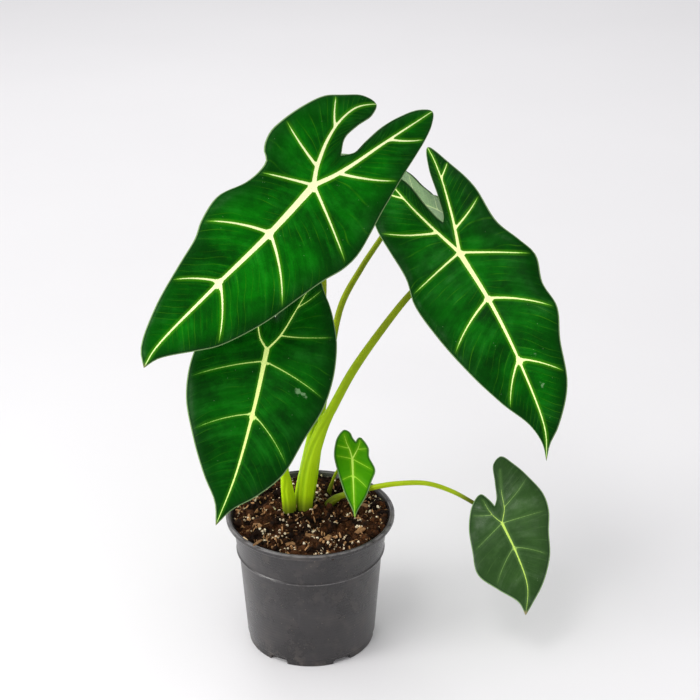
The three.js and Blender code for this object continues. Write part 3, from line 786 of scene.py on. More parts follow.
@dataclass(frozen=True)
class CrumbFinish(Finish):
    """Rough loose matter whose grains differ in shade: mix, bark, perlite or corky root; the peat also gets
    dark noise patches of painted shade.
    """

    skin: Skin
    dark: Colour
    light: Colour
    grain: float = 900.0
    roughness: float = 0.85
    shine: float = 0.25
    # how dark the painted shade in noise patches gets, standing in for shaded hollows
    hollow_shade: float = 0.0

    def make(self) -> Material:
        """Builds the material.

        Returns:
            The material, with its nodes joined.
        """
        nodes, shader, material = self.start(self.skin.value, Specular_IOR_Level=self.shine)
        space = nodes.add("ShaderNodeTexCoord").outputs["Object"]
        scales = {"Broad": self.grain / 4, "Fine": self.grain * 2}
        mottle = self.effect(nodes, self.effects.mottle(), Vector=space, **scales)
        fibre = nodes.noise(nodes.stretched(space, (1, 0.3, 1)), self.grain, 4, 0.65)
        share = nodes.math("MULTIPLY", mottle["Mask"], 0.3)
        share = nodes.math("MULTIPLY_ADD", nodes.attribute("shade"), 0.75, share)
        colour = nodes.mix(nodes.math("MULTIPLY", share, 1.0, clamp=True), self.dark, self.light)
        colour = nodes.tint(colour, nodes.ramp(fibre, 0.5, 0.7), 0.4, self.dark)
        # painted shade: dark noise patches that stand in for shaded hollows between grains
        shade_patches = nodes.ramp(nodes.noise(space, 85.0, 3, 0.6), 0.58, 0.42)
        colour = nodes.tint(colour, shade_patches, self.hollow_shade, self.dark)
        rough = nodes.math("MULTIPLY_ADD", mottle["Height"], 0.15, self.roughness - 0.08)
        self.join(nodes, shader, colour, rough, nodes.math("ADD", fibre, mottle["Height"]), 0.0003)
        return material


class Finishes:
    """Every material of the object, each built when it is first asked for."""

    def __init__(self) -> None:
        """Describes the finishes."""
        self.recipes: list[Finish] = [
            BladeFinish(Skin.VELVET_BLADE),
            BladeFinish(Skin.DEEP_BLADE, deep=(0.0, 0.028, 0.0002), lit=(0.0006, 0.165, 0.0003),
                        vein=(0.93, 1.0, 0.46)),
            BladeFinish(Skin.SHADED_BLADE, deep=(0.0, 0.026, 0.0002), lit=(0.001, 0.150, 0.0005),
                        halo=(0.05, 0.26, 0.004), vein=(0.80, 0.96, 0.30), vein_edge=(0.14, 0.42, 0.04)),
            BladeFinish(Skin.THIN_BLADE, deep=(0.014, 0.050, 0.006), lit=(0.045, 0.125, 0.020),
                        halo=(0.10, 0.22, 0.05), vein=(0.52, 0.74, 0.12), vein_edge=(0.17, 0.31, 0.07),
                        dry_tip=(0.30, 0.24, 0.13), shine=0.1, gloss=0.16),
            BladeFinish(Skin.YOUNG_BLADE, deep=(0.045, 0.27, 0.0), lit=(0.15, 0.50, 0.001),
                        halo=(0.28, 0.60, 0.01), vein=(0.62, 0.92, 0.14), vein_edge=(0.34, 0.72, 0.03),
                        dry_tip=(0.50, 0.80, 0.10), fine_share=0.35, dust_share=0.0),
            UndersideFinish(Skin.UNDERSIDE),
            UndersideFinish(Skin.YOUNG_UNDERSIDE, base=(0.12, 0.34, 0.03), cloud=(0.17, 0.42, 0.05)),
            StemFinish(Skin.PETIOLE),
            StemFinish(Skin.THIN_PETIOLE, base=(0.36, 0.48, 0.010), top=(0.28, 0.38, 0.02)),
            PotFinish(Skin.POT),
            CrumbFinish(Skin.PEAT, (0.001, 0.0005, 0.0002), (0.090, 0.032, 0.009), shine=0.12, hollow_shade=0.85),
            CrumbFinish(Skin.BARK, (0.070, 0.024, 0.006), (0.60, 0.33, 0.14), grain=1200.0, roughness=0.7,
                        shine=0.2),
            CrumbFinish(Skin.PERLITE, (0.55, 0.36, 0.17), (1.0, 0.90, 0.66), grain=1500.0, roughness=0.75,
                        shine=0.2),
            CrumbFinish(Skin.CORK, (0.22, 0.15, 0.08), (0.55, 0.42, 0.25), grain=500.0),
        ]
        self._made: dict[Skin, Material] = {}

    def get(self, skin: Skin) -> Material:
        """Finds a material, and builds it the first time.

        Args:
            skin: which finish it has.

        Returns:
            The material.
        """
        if skin not in self._made:
            recipe = next(item for item in self.recipes if item.skin is skin)
            self._made[skin] = recipe.make()
        return self._made[skin]


# ---- leaves


@dataclass(frozen=True)
class BladeSide:
    """One side of a blade, drawn flat: u to the right of the midrib, v from the hub to the tip.

    outer is the margin from the lobe's end to the tip, inner runs from the lobe's end to the notch,
    rib is the vein down the lobe, and veins go from their starts to the margin, lobe to tip.
    """

    outer: tuple[Point, ...]
    inner: tuple[Point, ...]
    rib: tuple[Point, ...]
    veins: tuple[tuple[Point, Point], ...]


@dataclass(frozen=True)
class StemShape:
    """A petiole's route, with heights above the mix, its radii, its sheathed share and its finish."""

    route: tuple[Point, ...]
    base_radius: float
    tip_radius: float
    sheath: float
    finish: Skin = Skin.PETIOLE


@dataclass(frozen=True)
class LeafShape:
    """A leaf's place, pose and outline. Angles are in degrees, as in the CAD model."""

    name: str
    hub: Point
    heading: float
    dip: float
    roll: float
    bend: float
    fold: float
    curl: float
    wave: float
    midrib: tuple[Point, ...]
    notch: Point
    right: BladeSide
    left: BladeSide
    stem: StemShape
    finish: Skin = Skin.VELVET_BLADE
    underside: Skin = Skin.UNDERSIDE
    vein_width: float = 4.4
    taper: float = 0.8
    lobe_share: float = 0.34
    side_share: float = 0.46  # width of the widest side vein, as a share of the midrib's
    side_tone: float = 0.95  # strength of the side veins
    quilt: float = 1.1
    scars: tuple[tuple[float, float, float], ...] = ()  # dry marks, as u, v and radius


FRONT_LEFT = LeafShape(
    name="front_left",
    hub=(5, -10, 255),
    heading=-140, dip=30, roll=54, bend=380, fold=0.16, curl=0.0022, wave=1.2,
    midrib=((0, 0), (-2, 43), (-2, 100), (-4, 148), (-8, 162)),
    notch=(1, -29),
    right=BladeSide(
        outer=(
            (8, -74), (18, -71), (28, -60), (36, -49), (41, -34), (44, -16), (44, -3), (39, 8), (33, 12),
            (31, 20), (32, 32), (38, 51), (34, 70), (29, 80), (24, 99), (15, 129), (2, 155)),
        inner=((8, -74), (5, -66), (7, -52), (7, -39)),
        rib=((0, 0), (7, -10), (17, -38), (16, -60)),
        veins=(
            ((17, -38), (30, -54)), ((7, -10), (42, -17)), ((0, 0), (32, 21)), ((-2, 43), (34, 70)),
            ((-2, 88), (21, 110))),
    ),
    left=BladeSide(
        outer=(
            (-22, -103), (-28, -95), (-32, -80), (-36, -57), (-42, -30), (-47, -9), (-52, 11), (-52, 24),
            (-48, 40), (-45, 58), (-40, 88), (-31, 117), (-23, 130), (-10, 151)),
        inner=((-22, -103), (-15, -97), (-9, -82), (-5, -65), (-4, -48), (-4, -38)),
        rib=((0, 0), (-6, -18), (-14, -61), (-20, -92)),
        veins=(
            ((-14, -61), (-31, -82)), ((-6, -18), (-38, -46)), ((0, 0), (-51, 22)),
            ((-2, 43), (-43, 73)), ((-2, 88), (-31, 118))),
    ),
    stem=StemShape(
        route=(
            (-7, 14, 6), (-3, 15, 29), (2, 17, 60), (5, 20, 98), (8, 23, 136), (10, 24, 169),
            (9, 22, 196), (7, 15, 224), (5, 3, 243)),
        base_radius=4, tip_radius=1.9, sheath=0.25,
    ),
    vein_width=4.7,
)

FRONT_RIGHT = LeafShape(
    name="front_right",
    hub=(103, 32, 190),
    heading=-61, dip=40, roll=-38, bend=330, fold=0.16, curl=0.0024, wave=1.4,
    midrib=((0, 0), (-5, 45), (-5, 90), (0, 135), (9, 155)),
    notch=(2, -27),
    right=BladeSide(
        outer=(
            (28, -86), (42, -68), (46, -46), (44, -24), (41, 0), (43, 20), (38, 48), (29, 78), (18, 107),
            (8, 128), (6, 143)),
        inner=((28, -86), (15, -70), (8, -44), (4, -31)),
        rib=((0, 0), (8, -20), (18, -48), (25, -74)),
        veins=(
            ((20, -55), (36, -76)), ((8, -20), (45, -40)), ((0, 0), (42, 14)), ((-5, 38), (33, 64)),
            ((-5, 84), (15, 113))),
    ),
    left=BladeSide(
        outer=(
            (-9, -87), (-18, -68), (-28, -40), (-32, -8), (-41, 12), (-46, 25), (-42, 45), (-44, 64),
            (-36, 85), (-27, 114), (-9, 137), (2, 146)),
        inner=((-9, -87), (-4, -70), (-2, -45), (0, -31)),
        rib=((0, 0), (-4, -17), (-9, -50), (-10, -78)),
        veins=(
            ((-9, -57), (-21, -68)), ((-4, -17), (-32, -32)), ((0, 0), (-46, 25)), ((-5, 38), (-44, 65)),
            ((-5, 84), (-31, 106))),
    ),
    stem=StemShape(
        route=(
            (-4, 7, 6), (-2, 8, 27), (1, 9, 42), (9, 12, 66), (16, 15, 79), (30, 22, 104), (50, 32, 131),
            (70, 42, 154), (84, 45, 167), (95, 41, 180)),
        base_radius=5.2, tip_radius=1.9, sheath=0.36,
    ),
    vein_width=4.0, taper=0.55, side_share=0.45, finish=Skin.DEEP_BLADE,
    scars=((-15.6, 86, 1.8), (-11.4, 105.8, 2.6)),
)

FRONT_LOW = LeafShape(
    name="front_low",
    hub=(-27, -25, 144),
    heading=-112, dip=45, roll=23, bend=260, fold=0.12, curl=0.0022, wave=1.2,
    midrib=((0, 0), (-3, 40), (-4, 86), (-1, 123)),
    notch=(1, -25),
    right=BladeSide(
        outer=((25, -50), (36, -30), (43, -4), (46, 22), (42, 46), (30, 70), (16, 92), (4, 108)),
        inner=((25, -50), (16, -44), (8, -34), (3, -27)),
        rib=((0, 0), (5, -4), (12, -18), (21, -38)),
        veins=(((12, -18), (42, -10)), ((0, 8), (44, 33)), ((-3, 44), (33, 66))),
    ),
    left=BladeSide(
        outer=(
            (-18, -64), (-26, -53), (-37, -35), (-44, -18), (-48, 8), (-47, 28), (-41, 50), (-34, 77),
            (-22, 95), (-8, 110)),
        inner=((-18, -64), (-9, -58), (-3, -44), (0, -29)),
        rib=((0, 0), (-6, -12), (-11, -32), (-16, -54)),
        veins=(
            ((-12, -35), (-25, -55)), ((-6, -12), (-43, -23)), ((0, 8), (-47, 22)), ((-3, 44), (-35, 72))),
    ),
    stem=StemShape(
        route=((-15, 3, 6), (-17, 3, 27), (-19, 1, 49), (-22, -2, 79), (-25, -6, 108), (-27, -12, 127)),
        base_radius=4, tip_radius=1.9, sheath=0.25,
    ),
    finish=Skin.SHADED_BLADE,
    vein_width=3.4, lobe_share=0.22, side_share=0.31, side_tone=0.78,
    scars=((-23.5, 20.8, 1.8), (-27.5, 22, 2.8), (-31.5, 22.4, 1.9), (-35, 23.8, 1.5)),
)

BACK = LeafShape(
    name="back",
    hub=(64, 156, 179),
    heading=127, dip=11, roll=-63, bend=240, fold=0.1, curl=0.0018, wave=1,
    midrib=((0, 0), (1, 50), (2, 100), (2, 140)),
    notch=(11, -26),
    right=BladeSide(
        outer=(
            (22, -66), (27, -54), (30, -34), (29, -10), (29, 12), (26, 34), (24, 54), (20, 80),
            (12, 108), (5, 127)),
        inner=((22, -66), (17, -58), (14, -44), (13, -34)),
        rib=((0, 0), (8, -14), (16, -34), (21, -52)),
        veins=(
            ((14, -29), (29, -42)), ((8, -14), (29, -24)), ((0, 0), (29, 20)), ((1, 40), (23, 62)),
            ((2, 84), (14, 103))),
    ),
    left=BladeSide(
        outer=(
            (-13, -97), (-24, -96), (-28, -84), (-26, -68), (-28, -54), (-38, -44), (-41, -26),
            (-40, -8), (-43, 12), (-45, 34), (-40, 60), (-31, 86), (-18, 110), (-5, 127)),
        inner=((-13, -97), (0, -90), (8, -76), (11, -56), (12, -40)),
        rib=((0, 0), (-2, -16), (-5, -42), (-8, -72)),
        veins=(
            ((-7, -60), (-26, -72)), ((-4, -29), (-38, -44)), ((0, 0), (-45, 24)), ((1, 40), (-36, 72)),
            ((2, 84), (-19, 108))),
    ),
    stem=StemShape(
        route=(
            (-1, 21, 4), (5, 25, 48), (13, 38, 97), (22, 60, 137), (36, 82, 156), (49, 108, 166),
            (57, 131, 169), (61, 147, 173)),
        base_radius=3.6, tip_radius=1.8, sheath=0.25,
    ),
    finish=Skin.SHADED_BLADE,
    vein_width=3.6,
)

PUP = LeafShape(
    name="pup",
    hub=(30, 22, 34),
    heading=-87, dip=44, roll=-3, bend=150, fold=0.16, curl=0.003, wave=0.4,
    midrib=((0, 0), (0, 20), (0, 43)),
    notch=(-3, -13),
    right=BladeSide(
        outer=((5, -23), (10, -17), (12, -11), (13, -3), (12, 4), (9, 16), (6, 26), (1, 38)),
        inner=((5, -23), (1, -21), (-1, -16)),
        rib=((0, 0), (2, -8), (5, -16)),
        veins=(((2, -8), (12, -11)), ((0, 0), (12, -3)), ((0, 12), (9, 16))),
    ),
    left=BladeSide(
        outer=((-6, -16), (-9, -13), (-12, -7), (-12, -1), (-16, 9), (-13, 17), (-9, 27), (-2, 38)),
        inner=((-6, -16), (-4, -15)),
        rib=((0, 0), (-4, -7), (-6, -12)),
        veins=(((-4, -7), (-12, -7)), ((0, 0), (-15, 10)), ((0, 12), (-10, 23))),
    ),
    stem=StemShape(
        route=((13, 35, -2), (15, 35, 6), (18, 34, 15), (23, 32, 24), (28, 28, 30)),
        base_radius=1.4, tip_radius=0.9, sheath=0.3, finish=Skin.THIN_PETIOLE,
    ),
    finish=Skin.YOUNG_BLADE, underside=Skin.YOUNG_UNDERSIDE,
    vein_width=1.7, side_share=0.5, side_tone=0.6, quilt=0.35,
)

LOW_RIGHT = LeafShape(
    name="low_right",
    hub=(136, -10, 0),
    heading=-62, dip=40, roll=-28, bend=200, fold=0.1, curl=0.0024, wave=0.8,
    midrib=((0, 0), (-1, 25), (1, 48), (10, 66)),
    notch=(0, -14),
    right=BladeSide(
        outer=((6, -26), (15, -20), (23, -6), (27, 10), (30, 27), (21, 42), (11, 56)),
        inner=((6, -26), (2, -20)),
        rib=((0, 0), (4, -8), (6, -18)),
        veins=(((4, -8), (19, -14)), ((0, 0), (27, 12)), ((-1, 19), (22, 41))),
    ),
    left=BladeSide(
        outer=(
            (-18, -47), (-24, -38), (-30, -25), (-35, -9), (-34, 4), (-28, 18), (-22, 34), (-10, 50),
            (2, 60)),
        inner=((-18, -47), (-11, -44), (-7, -31), (-3, -18)),
        rib=((0, 0), (-6, -10), (-9, -24), (-14, -38)),
        veins=(((-6, -10), (-30, -25)), ((0, 0), (-34, 4)), ((-1, 19), (-22, 34))),
    ),
    stem=StemShape(
        route=(
            (13, 13, 1), (19, 14, 6.5), (27, 13, 10.5), (43, 11, 16.5), (62, 6, 23), (82, 3, 25),
            (99, 7, 17), (116, 14, 3), (127, 12, -4), (134, 3, -6)),
        base_radius=2.6, tip_radius=1.3, sheath=0.12, finish=Skin.THIN_PETIOLE,
    ),
    finish=Skin.THIN_BLADE,
    vein_width=2.0, taper=0.65, lobe_share=0.19, side_share=0.30, side_tone=0.55, quilt=0.6,
)

LEAVES = (FRONT_LEFT, FRONT_RIGHT, FRONT_LOW, BACK, PUP, LOW_RIGHT)


@dataclass(frozen=True)
class VeinLine:
    """A vein drawn flat: its points, and its half-width and strength at each."""

    points: np.ndarray
    half: np.ndarray
    tone: np.ndarray


@dataclass(frozen=True)
class SideRails:
    """The lines that one side's mesh runs between, drawn flat, with a point for each row.

    station is the distance along the skeleton from the hub, below zero in the lobe.
    """

    skeleton: np.ndarray
    station: np.ndarray
    margin: np.ndarray
    notch_line: np.ndarray
    hub_row: int


@dataclass
class Blade:
    """An arrow-shaped blade: two faces, a rounded margin, quilting between veins and ribs below."""

    shape: LeafShape
    finishes: Finishes
    steps: int = 14  # mesh rows from one vein to the next
    across: int = 26  # mesh columns from rib to margin
    samples: int = 401
    thickness: float = 0.5
    rim_round: float = 0.12  # how far the rounded rim stands out past the faces
    sag: float = 0.05  # how far veins bow towards the hub, as a share of their length

    def __post_init__(self) -> None:
        """Works out the blade's own axes: along its midrib, to its right, and out of its upper face."""
        shape = self.shape
        margins = shape.right.outer + shape.left.outer
        self.half_width = max(abs(u) for u, _ in margins)
        heading, dip, roll = (math.radians(angle) for angle in (shape.heading, shape.dip, shape.roll))
        level = np.array([math.sin(heading), -math.cos(heading), 0])
        flat = math.cos(dip)
        self.along = np.array([flat * math.cos(heading), flat * math.sin(heading), -math.sin(dip)])
        up = np.cross(level, self.along)
        self.right = level * math.cos(roll) + up * math.sin(roll)
        self.out = up * math.cos(roll) - level * math.sin(roll)
        self.hub = np.array(shape.hub) + [0, 0, SOIL]
        self.veins: list[VeinLine] = []

    def lift(self, spots: np.ndarray) -> np.ndarray:
        """Folds, curls and waves the sheet.

        Args:
            spots: flat points.

        Returns:
            How far the folded sheet stands off a plain bent one at each.
        """
        u, v = spots[:, 0], spots[:, 1]
        folded = self.shape.fold * (np.hypot(u, FOLD_RADIUS) - FOLD_RADIUS)
        ripple = np.sin(4.4 * v / self.half_width + np.where(u < 0, 1.3, 0))
        return folded - self.shape.curl * u**2 + self.shape.wave * (u / self.half_width) ** 2 * ripple

    def place(self, spots: np.ndarray, offset: np.ndarray) -> np.ndarray:
        """Puts flat points in space.

        Args:
            spots: flat points, as rows of u and v.
            offset: how far each stands off the folded sheet, towards the upper face.

        Returns:
            Their places in millimetres.
        """
        angle = (spots[:, 1] / self.shape.bend)[:, None]
        normal = self.out * np.cos(angle) + self.along * np.sin(angle)
        bent = self.along * self.shape.bend * np.sin(angle) - self.out * self.shape.bend * (1 - np.cos(angle))
        return self.hub + bent + self.right * spots[:, :1] + normal * (self.lift(spots) + offset)[:, None]

    def side_rails(self, side: BladeSide) -> SideRails:
        """Finds the rails that a side's mesh runs between.

        Args:
            side: the side of the blade.

        Returns:
            The rails, from the lobe's end to the tip, and from there to the notch.
        """
        tip, lobe_end = self.shape.midrib[-1], side.outer[0]
        rib = smooth_line((*side.rib, lobe_end), self.samples)
        skeleton = np.vstack([rib[:0:-1], smooth_line(self.shape.midrib, self.samples)])
        outline = smooth_line((self.shape.notch, *side.inner[::-1], *side.outer[1:], tip), self.samples * 2)

        def nearest(line: np.ndarray, point: Point) -> int:
            """Returns the index of a line's point nearest to another."""
            return int(np.argmin(np.linalg.norm(line - point, axis=1)))

        turn = nearest(outline, lobe_end)
        margin, notch_line = outline[turn:], outline[turn::-1]
        hub_index = len(rib) - 1
        starts = [0, *(nearest(skeleton, start) for start, _ in side.veins), len(skeleton) - 1]
        ends = [0, *(nearest(margin, end) for _, end in side.veins), len(margin) - 1]
        if hub_index not in starts:  # the mesh turns at the hub even where no vein leaves it
            ends = sorted([*ends, float(np.interp(hub_index, starts, ends))])
            starts = sorted([*starts, hub_index])
        even = np.arange(0, len(starts) - 1 + 0.5 / self.steps, 1 / self.steps)
        skeleton_place = np.interp(even, np.arange(len(starts)), starts)
        run = np.concatenate([[0], np.cumsum(np.linalg.norm(np.diff(skeleton, axis=0), axis=1))])
        station = np.interp(skeleton_place, np.arange(len(run)), run - run[hub_index])
        hub_row = int(round(starts.index(hub_index) * self.steps))
        return SideRails(
            skeleton=at_place(skeleton, skeleton_place),
            station=station,
            margin=at_place(margin, np.interp(even, np.arange(len(ends)), ends)),
            notch_line=at_place(notch_line, np.linspace(0, len(notch_line) - 1, hub_row + 1)),
            hub_row=hub_row,
        )

    def vein_rows(self, side: BladeSide, skeleton: np.ndarray) -> list[int]:
        """Lists the rows of a side's mesh that a side vein runs along.

        Args:
            side: the side of the blade.
            skeleton: the rail that the veins start from.

        Returns:
            The rows, from the lobe to the tip.
        """
        rows = range(self.steps, len(skeleton) - 1, self.steps)
        return [row for row in rows if min(math.dist(skeleton[row], start) for start, _ in side.veins) < 3]

    def strip(self, start: np.ndarray, end: np.ndarray, bow: np.ndarray) -> np.ndarray:
        """Draws rungs between two rails.

        Args:
            start: points of the first rail.
            end: points of the second rail.
            bow: how far each rung bows to its right, as a share of its length.

        Returns:
            An array of rows, columns and flat coordinates.
        """
        share = np.linspace(0, 1, self.across + 1)[None, :, None]
        span = (end - start)[:, None, :]
        turned = np.stack([span[..., 1], -span[..., 0]], -1)
        return start[:, None, :] + span * share + turned * bow[:, None, None] * 4 * share * (1 - share)

    def flat_mesh(self) -> tuple[np.ndarray, np.ndarray, Faces]:
        """Draws the whole blade flat.

        Returns:
            Flat points, their flow coordinates, and faces that turn anticlockwise.
        """
        shape = self.shape
        spots, flows, faces, first = [], [], [], 0
        self.veins = [self.rib_line(shape.midrib, shape.vein_width / 2, 0.12)]
        for side, sign in ((shape.right, 1), (shape.left, -1)):
            rails = self.side_rails(side)
            lobe = rails.skeleton[: rails.hub_row + 1]
            bow = self.sag * sign * np.tanh(rails.station / 12)
            outer = self.strip(rails.skeleton, rails.margin, bow)
            inner = self.strip(lobe, rails.notch_line, np.zeros(len(lobe)))
            self.veins.append(self.rib_line(lobe[::-6], shape.vein_width * shape.lobe_share, 0.14))
            for row in self.vein_rows(side, rails.skeleton):
                self.veins.append(self.side_line(outer[row], abs(row - rails.hub_row) <= self.steps))
            grids = ((outer, rails.station, sign < 0), (inner, rails.station[: len(lobe)], sign > 0))
            for grid, stations, mirrored in grids:
                rows, columns = grid.shape[:2]
                reach = np.linalg.norm(grid - grid[:, :1], axis=2)
                along = np.broadcast_to(stations[:, None], reach.shape)
                spots.append(grid.reshape(-1, 2))
                flows.append(np.stack([along, reach], -1).reshape(-1, 2))
                block = grid_faces(rows, columns, first=first)
                faces += block if not mirrored else [face[::-1] for face in block]
                first += rows * columns
        return self.merged(np.vstack(spots), np.vstack(flows), faces)

    def merged(
        self, spots: np.ndarray, flows: np.ndarray, faces: list
    ) -> tuple[np.ndarray, np.ndarray, list]:
        """Joins points that lie on each other and drops faces that vanish.

        Args:
            spots: flat points.
            flows: their flow coordinates.
            faces: the faces between them.

        Returns:
            The points, flow coordinates and faces that are left.
        """
        _, kept, which = np.unique(np.round(spots, 3), axis=0, return_index=True, return_inverse=True)
        which = which.ravel()
        joined = []
        for face in faces:
            corners = list(dict.fromkeys(int(which[corner]) for corner in face))
            if len(corners) > 2:
                joined.append(tuple(corners))
        return spots[kept], flows[kept], joined

    def rib_line(self, points: Sequence[Point], half: float, end_share: float) -> VeinLine:
        """Describes a rib, which tapers towards its end.

        Args:
            points: the points that it runs through.
            half: its half-width at the hub.
            end_share: what its end keeps of that.

        Returns:
            The rib.
        """
        line = smooth_line(points, 60)
        share = np.linspace(0, 1, len(line))
        return VeinLine(line, half * (1 - (1 - end_share) * share**self.shape.taper), 1 - 0.25 * share**3)

    def side_line(self, line: np.ndarray, first: bool) -> VeinLine:
        """Describes a side vein, which fades before the margin.

        Args:
            line: its points.
            first: whether it leaves the hub, which makes it wider.

        Returns:
            The vein.
        """
        share = np.linspace(0, 1, len(line))
        half = self.shape.vein_width * self.shape.side_share * (0.5 if first else 0.4)
        tone = self.shape.side_tone * np.clip((0.965 - share) / 0.2, 0, 1) * (1 - 0.15 * share)
        return VeinLine(line, half * (1 - 0.8 * share**0.8), tone)

    def vein_values(self, spots: np.ndarray) -> tuple[np.ndarray, np.ndarray, np.ndarray]:
        """Measures flat points against the veins.

        Args:
            spots: flat points.

        Returns:
            Distance outside the nearest vein's edge, its strength there, and the relief of ribs below.
        """
        edge = np.full(len(spots), 1e3)
        tone = np.zeros(len(spots))
        relief = np.zeros(len(spots))
        for vein in self.veins:
            start, step = vein.points[:-1], np.diff(vein.points, axis=0)
            length2 = np.maximum((step**2).sum(1), 1e-9)
            offset = spots[:, None, :] - start[None]
            share = np.clip((offset * step).sum(2) / length2, 0, 1)
            gap = np.linalg.norm(offset - share[..., None] * step, axis=2)
            nearest = gap.argmin(1)
            row = np.arange(len(spots))
            place = nearest + share[row, nearest]
            half = np.interp(place, np.arange(len(vein.half)), vein.half)
            strength = np.interp(place, np.arange(len(vein.tone)), vein.tone)
            distance = gap[row, nearest] - half
            closer = distance < edge
            tone = np.where(closer, strength, tone)
            edge = np.minimum(edge, distance)
            swell = half * 0.55 * strength * np.exp(-((gap[row, nearest] / (half + 0.5)) ** 2))
            relief = np.maximum(relief, swell)
        return edge, tone, relief

    def build(self) -> Object:
        """Builds the blade.

        Returns:
            The finished object.
        """
        spots, flows, faces = self.flat_mesh()
        edge, tone, relief = self.vein_values(spots)
        border = self.border_edges(faces)
        loop = sorted({corner for pair in border for corner in pair})
        to_margin = np.min(np.linalg.norm(spots[:, None, :] - spots[loop][None], axis=2), axis=1)
        middle = self.middle_sheet(spots, edge, to_margin)
        half = self.thickness / 2 * (0.35 + 0.65 * (1 - np.exp(-to_margin / 1.2)))
        rim = spots[loop] + self.outward(spots, border)[loop] * self.rim_round
        values = {
            "vein_edge": edge * MM,
            "vein_tone": tone,
            "to_margin": to_margin * MM,
            "scar_gap": self.scar_gap(spots) * MM,
            "to_tip": np.linalg.norm(spots - np.array(self.shape.midrib[-1]), axis=1) * MM,
        }
        draft = MeshDraft()
        count = len(spots)
        draft.add(self.place(spots, middle + half) * MM, faces, 0, flow=flows * MM, **values)
        under = [tuple(reversed(face)) for face in faces]
        draft.add(self.place(spots, middle - half - relief) * MM, under, 1, flow=flows * MM, **values)
        ring = {corner: 2 * count + index for index, corner in enumerate(loop)}
        draft.add(self.place(rim, middle[loop]) * MM, [], 0, flow=flows[loop] * MM,
                  **{name: value[loop] for name, value in values.items()})
        for start, end in border:
            draft.faces.append((end, start, ring[start], ring[end]))
            draft.faces.append((ring[end], ring[start], start + count, end + count))
            draft.finish_of_face += [0, 1]
        finishes = [self.finishes.get(self.shape.finish), self.finishes.get(self.shape.underside)]
        return draft.build(f"{self.shape.name}_leaf_blade", finishes)

    def middle_sheet(self, spots: np.ndarray, edge: np.ndarray, to_margin: np.ndarray) -> np.ndarray:
        """Shapes the sheet midway between the faces: puffed between veins, uneven, turned down at its rim.

        Args:
            spots: flat points.
            edge: their distances outside the nearest vein.
            to_margin: their distances from the margin.

        Returns:
            How far the sheet stands off the folded one at each point.
        """
        quilt = self.shape.quilt * (1 - np.exp(-np.clip(edge, 0, None) / 5.5)) * np.clip(to_margin / 6, 0, 1)
        unrest = np.array([noise.noise(Vector((u / 17, v / 17, self.shape.heading))) for u, v in spots])
        small = np.array([noise.noise(Vector((u / 6, v / 6, self.shape.heading + 7))) for u, v in spots])
        middle = quilt + unrest * (0.35 + 1.1 * np.exp(-to_margin / 9)) + small * 0.16
        return middle - 2.0 * self.shape.quilt * np.exp(-to_margin / 2.2)

    def scar_gap(self, spots: np.ndarray) -> np.ndarray:
        """Measures flat points against the dry marks.

        Args:
            spots: flat points.

        Returns:
            Distance outside the nearest mark.
        """
        gap = np.full(len(spots), 30.0)
        for u, v, radius in self.shape.scars:
            gap = np.minimum(gap, np.hypot(spots[:, 0] - u, spots[:, 1] - v) - radius)
        return gap

    @staticmethod
    def border_edges(faces: Faces) -> list[tuple[int, int]]:
        """Lists the directed edges that only one face has.

        Args:
            faces: the faces.

        Returns:
            Pairs of corners, each in its face's direction.
        """
        edges = set()
        for face in faces:
            for start, end in zip(face, face[1:] + face[:1]):
                if (end, start) in edges:
                    edges.remove((end, start))
                else:
                    edges.add((start, end))
        return sorted(edges)

    @staticmethod
    def outward(spots: np.ndarray, border: list[tuple[int, int]]) -> np.ndarray:
        """Finds the ways out of the blade at its border.

        Args:
            spots: flat points.
            border: the directed edges of the border.

        Returns:
            A unit direction for each point on the border, and zero elsewhere.
        """
        result = np.zeros_like(spots)
        for start, end in border:
            step = spots[end] - spots[start]
            side = np.array([step[1], -step[0]]) / max(np.linalg.norm(step), 1e-9)
            result[start] += side
            result[end] += side
        return result / np.maximum(np.linalg.norm(result, axis=1), 1e-9)[:, None]


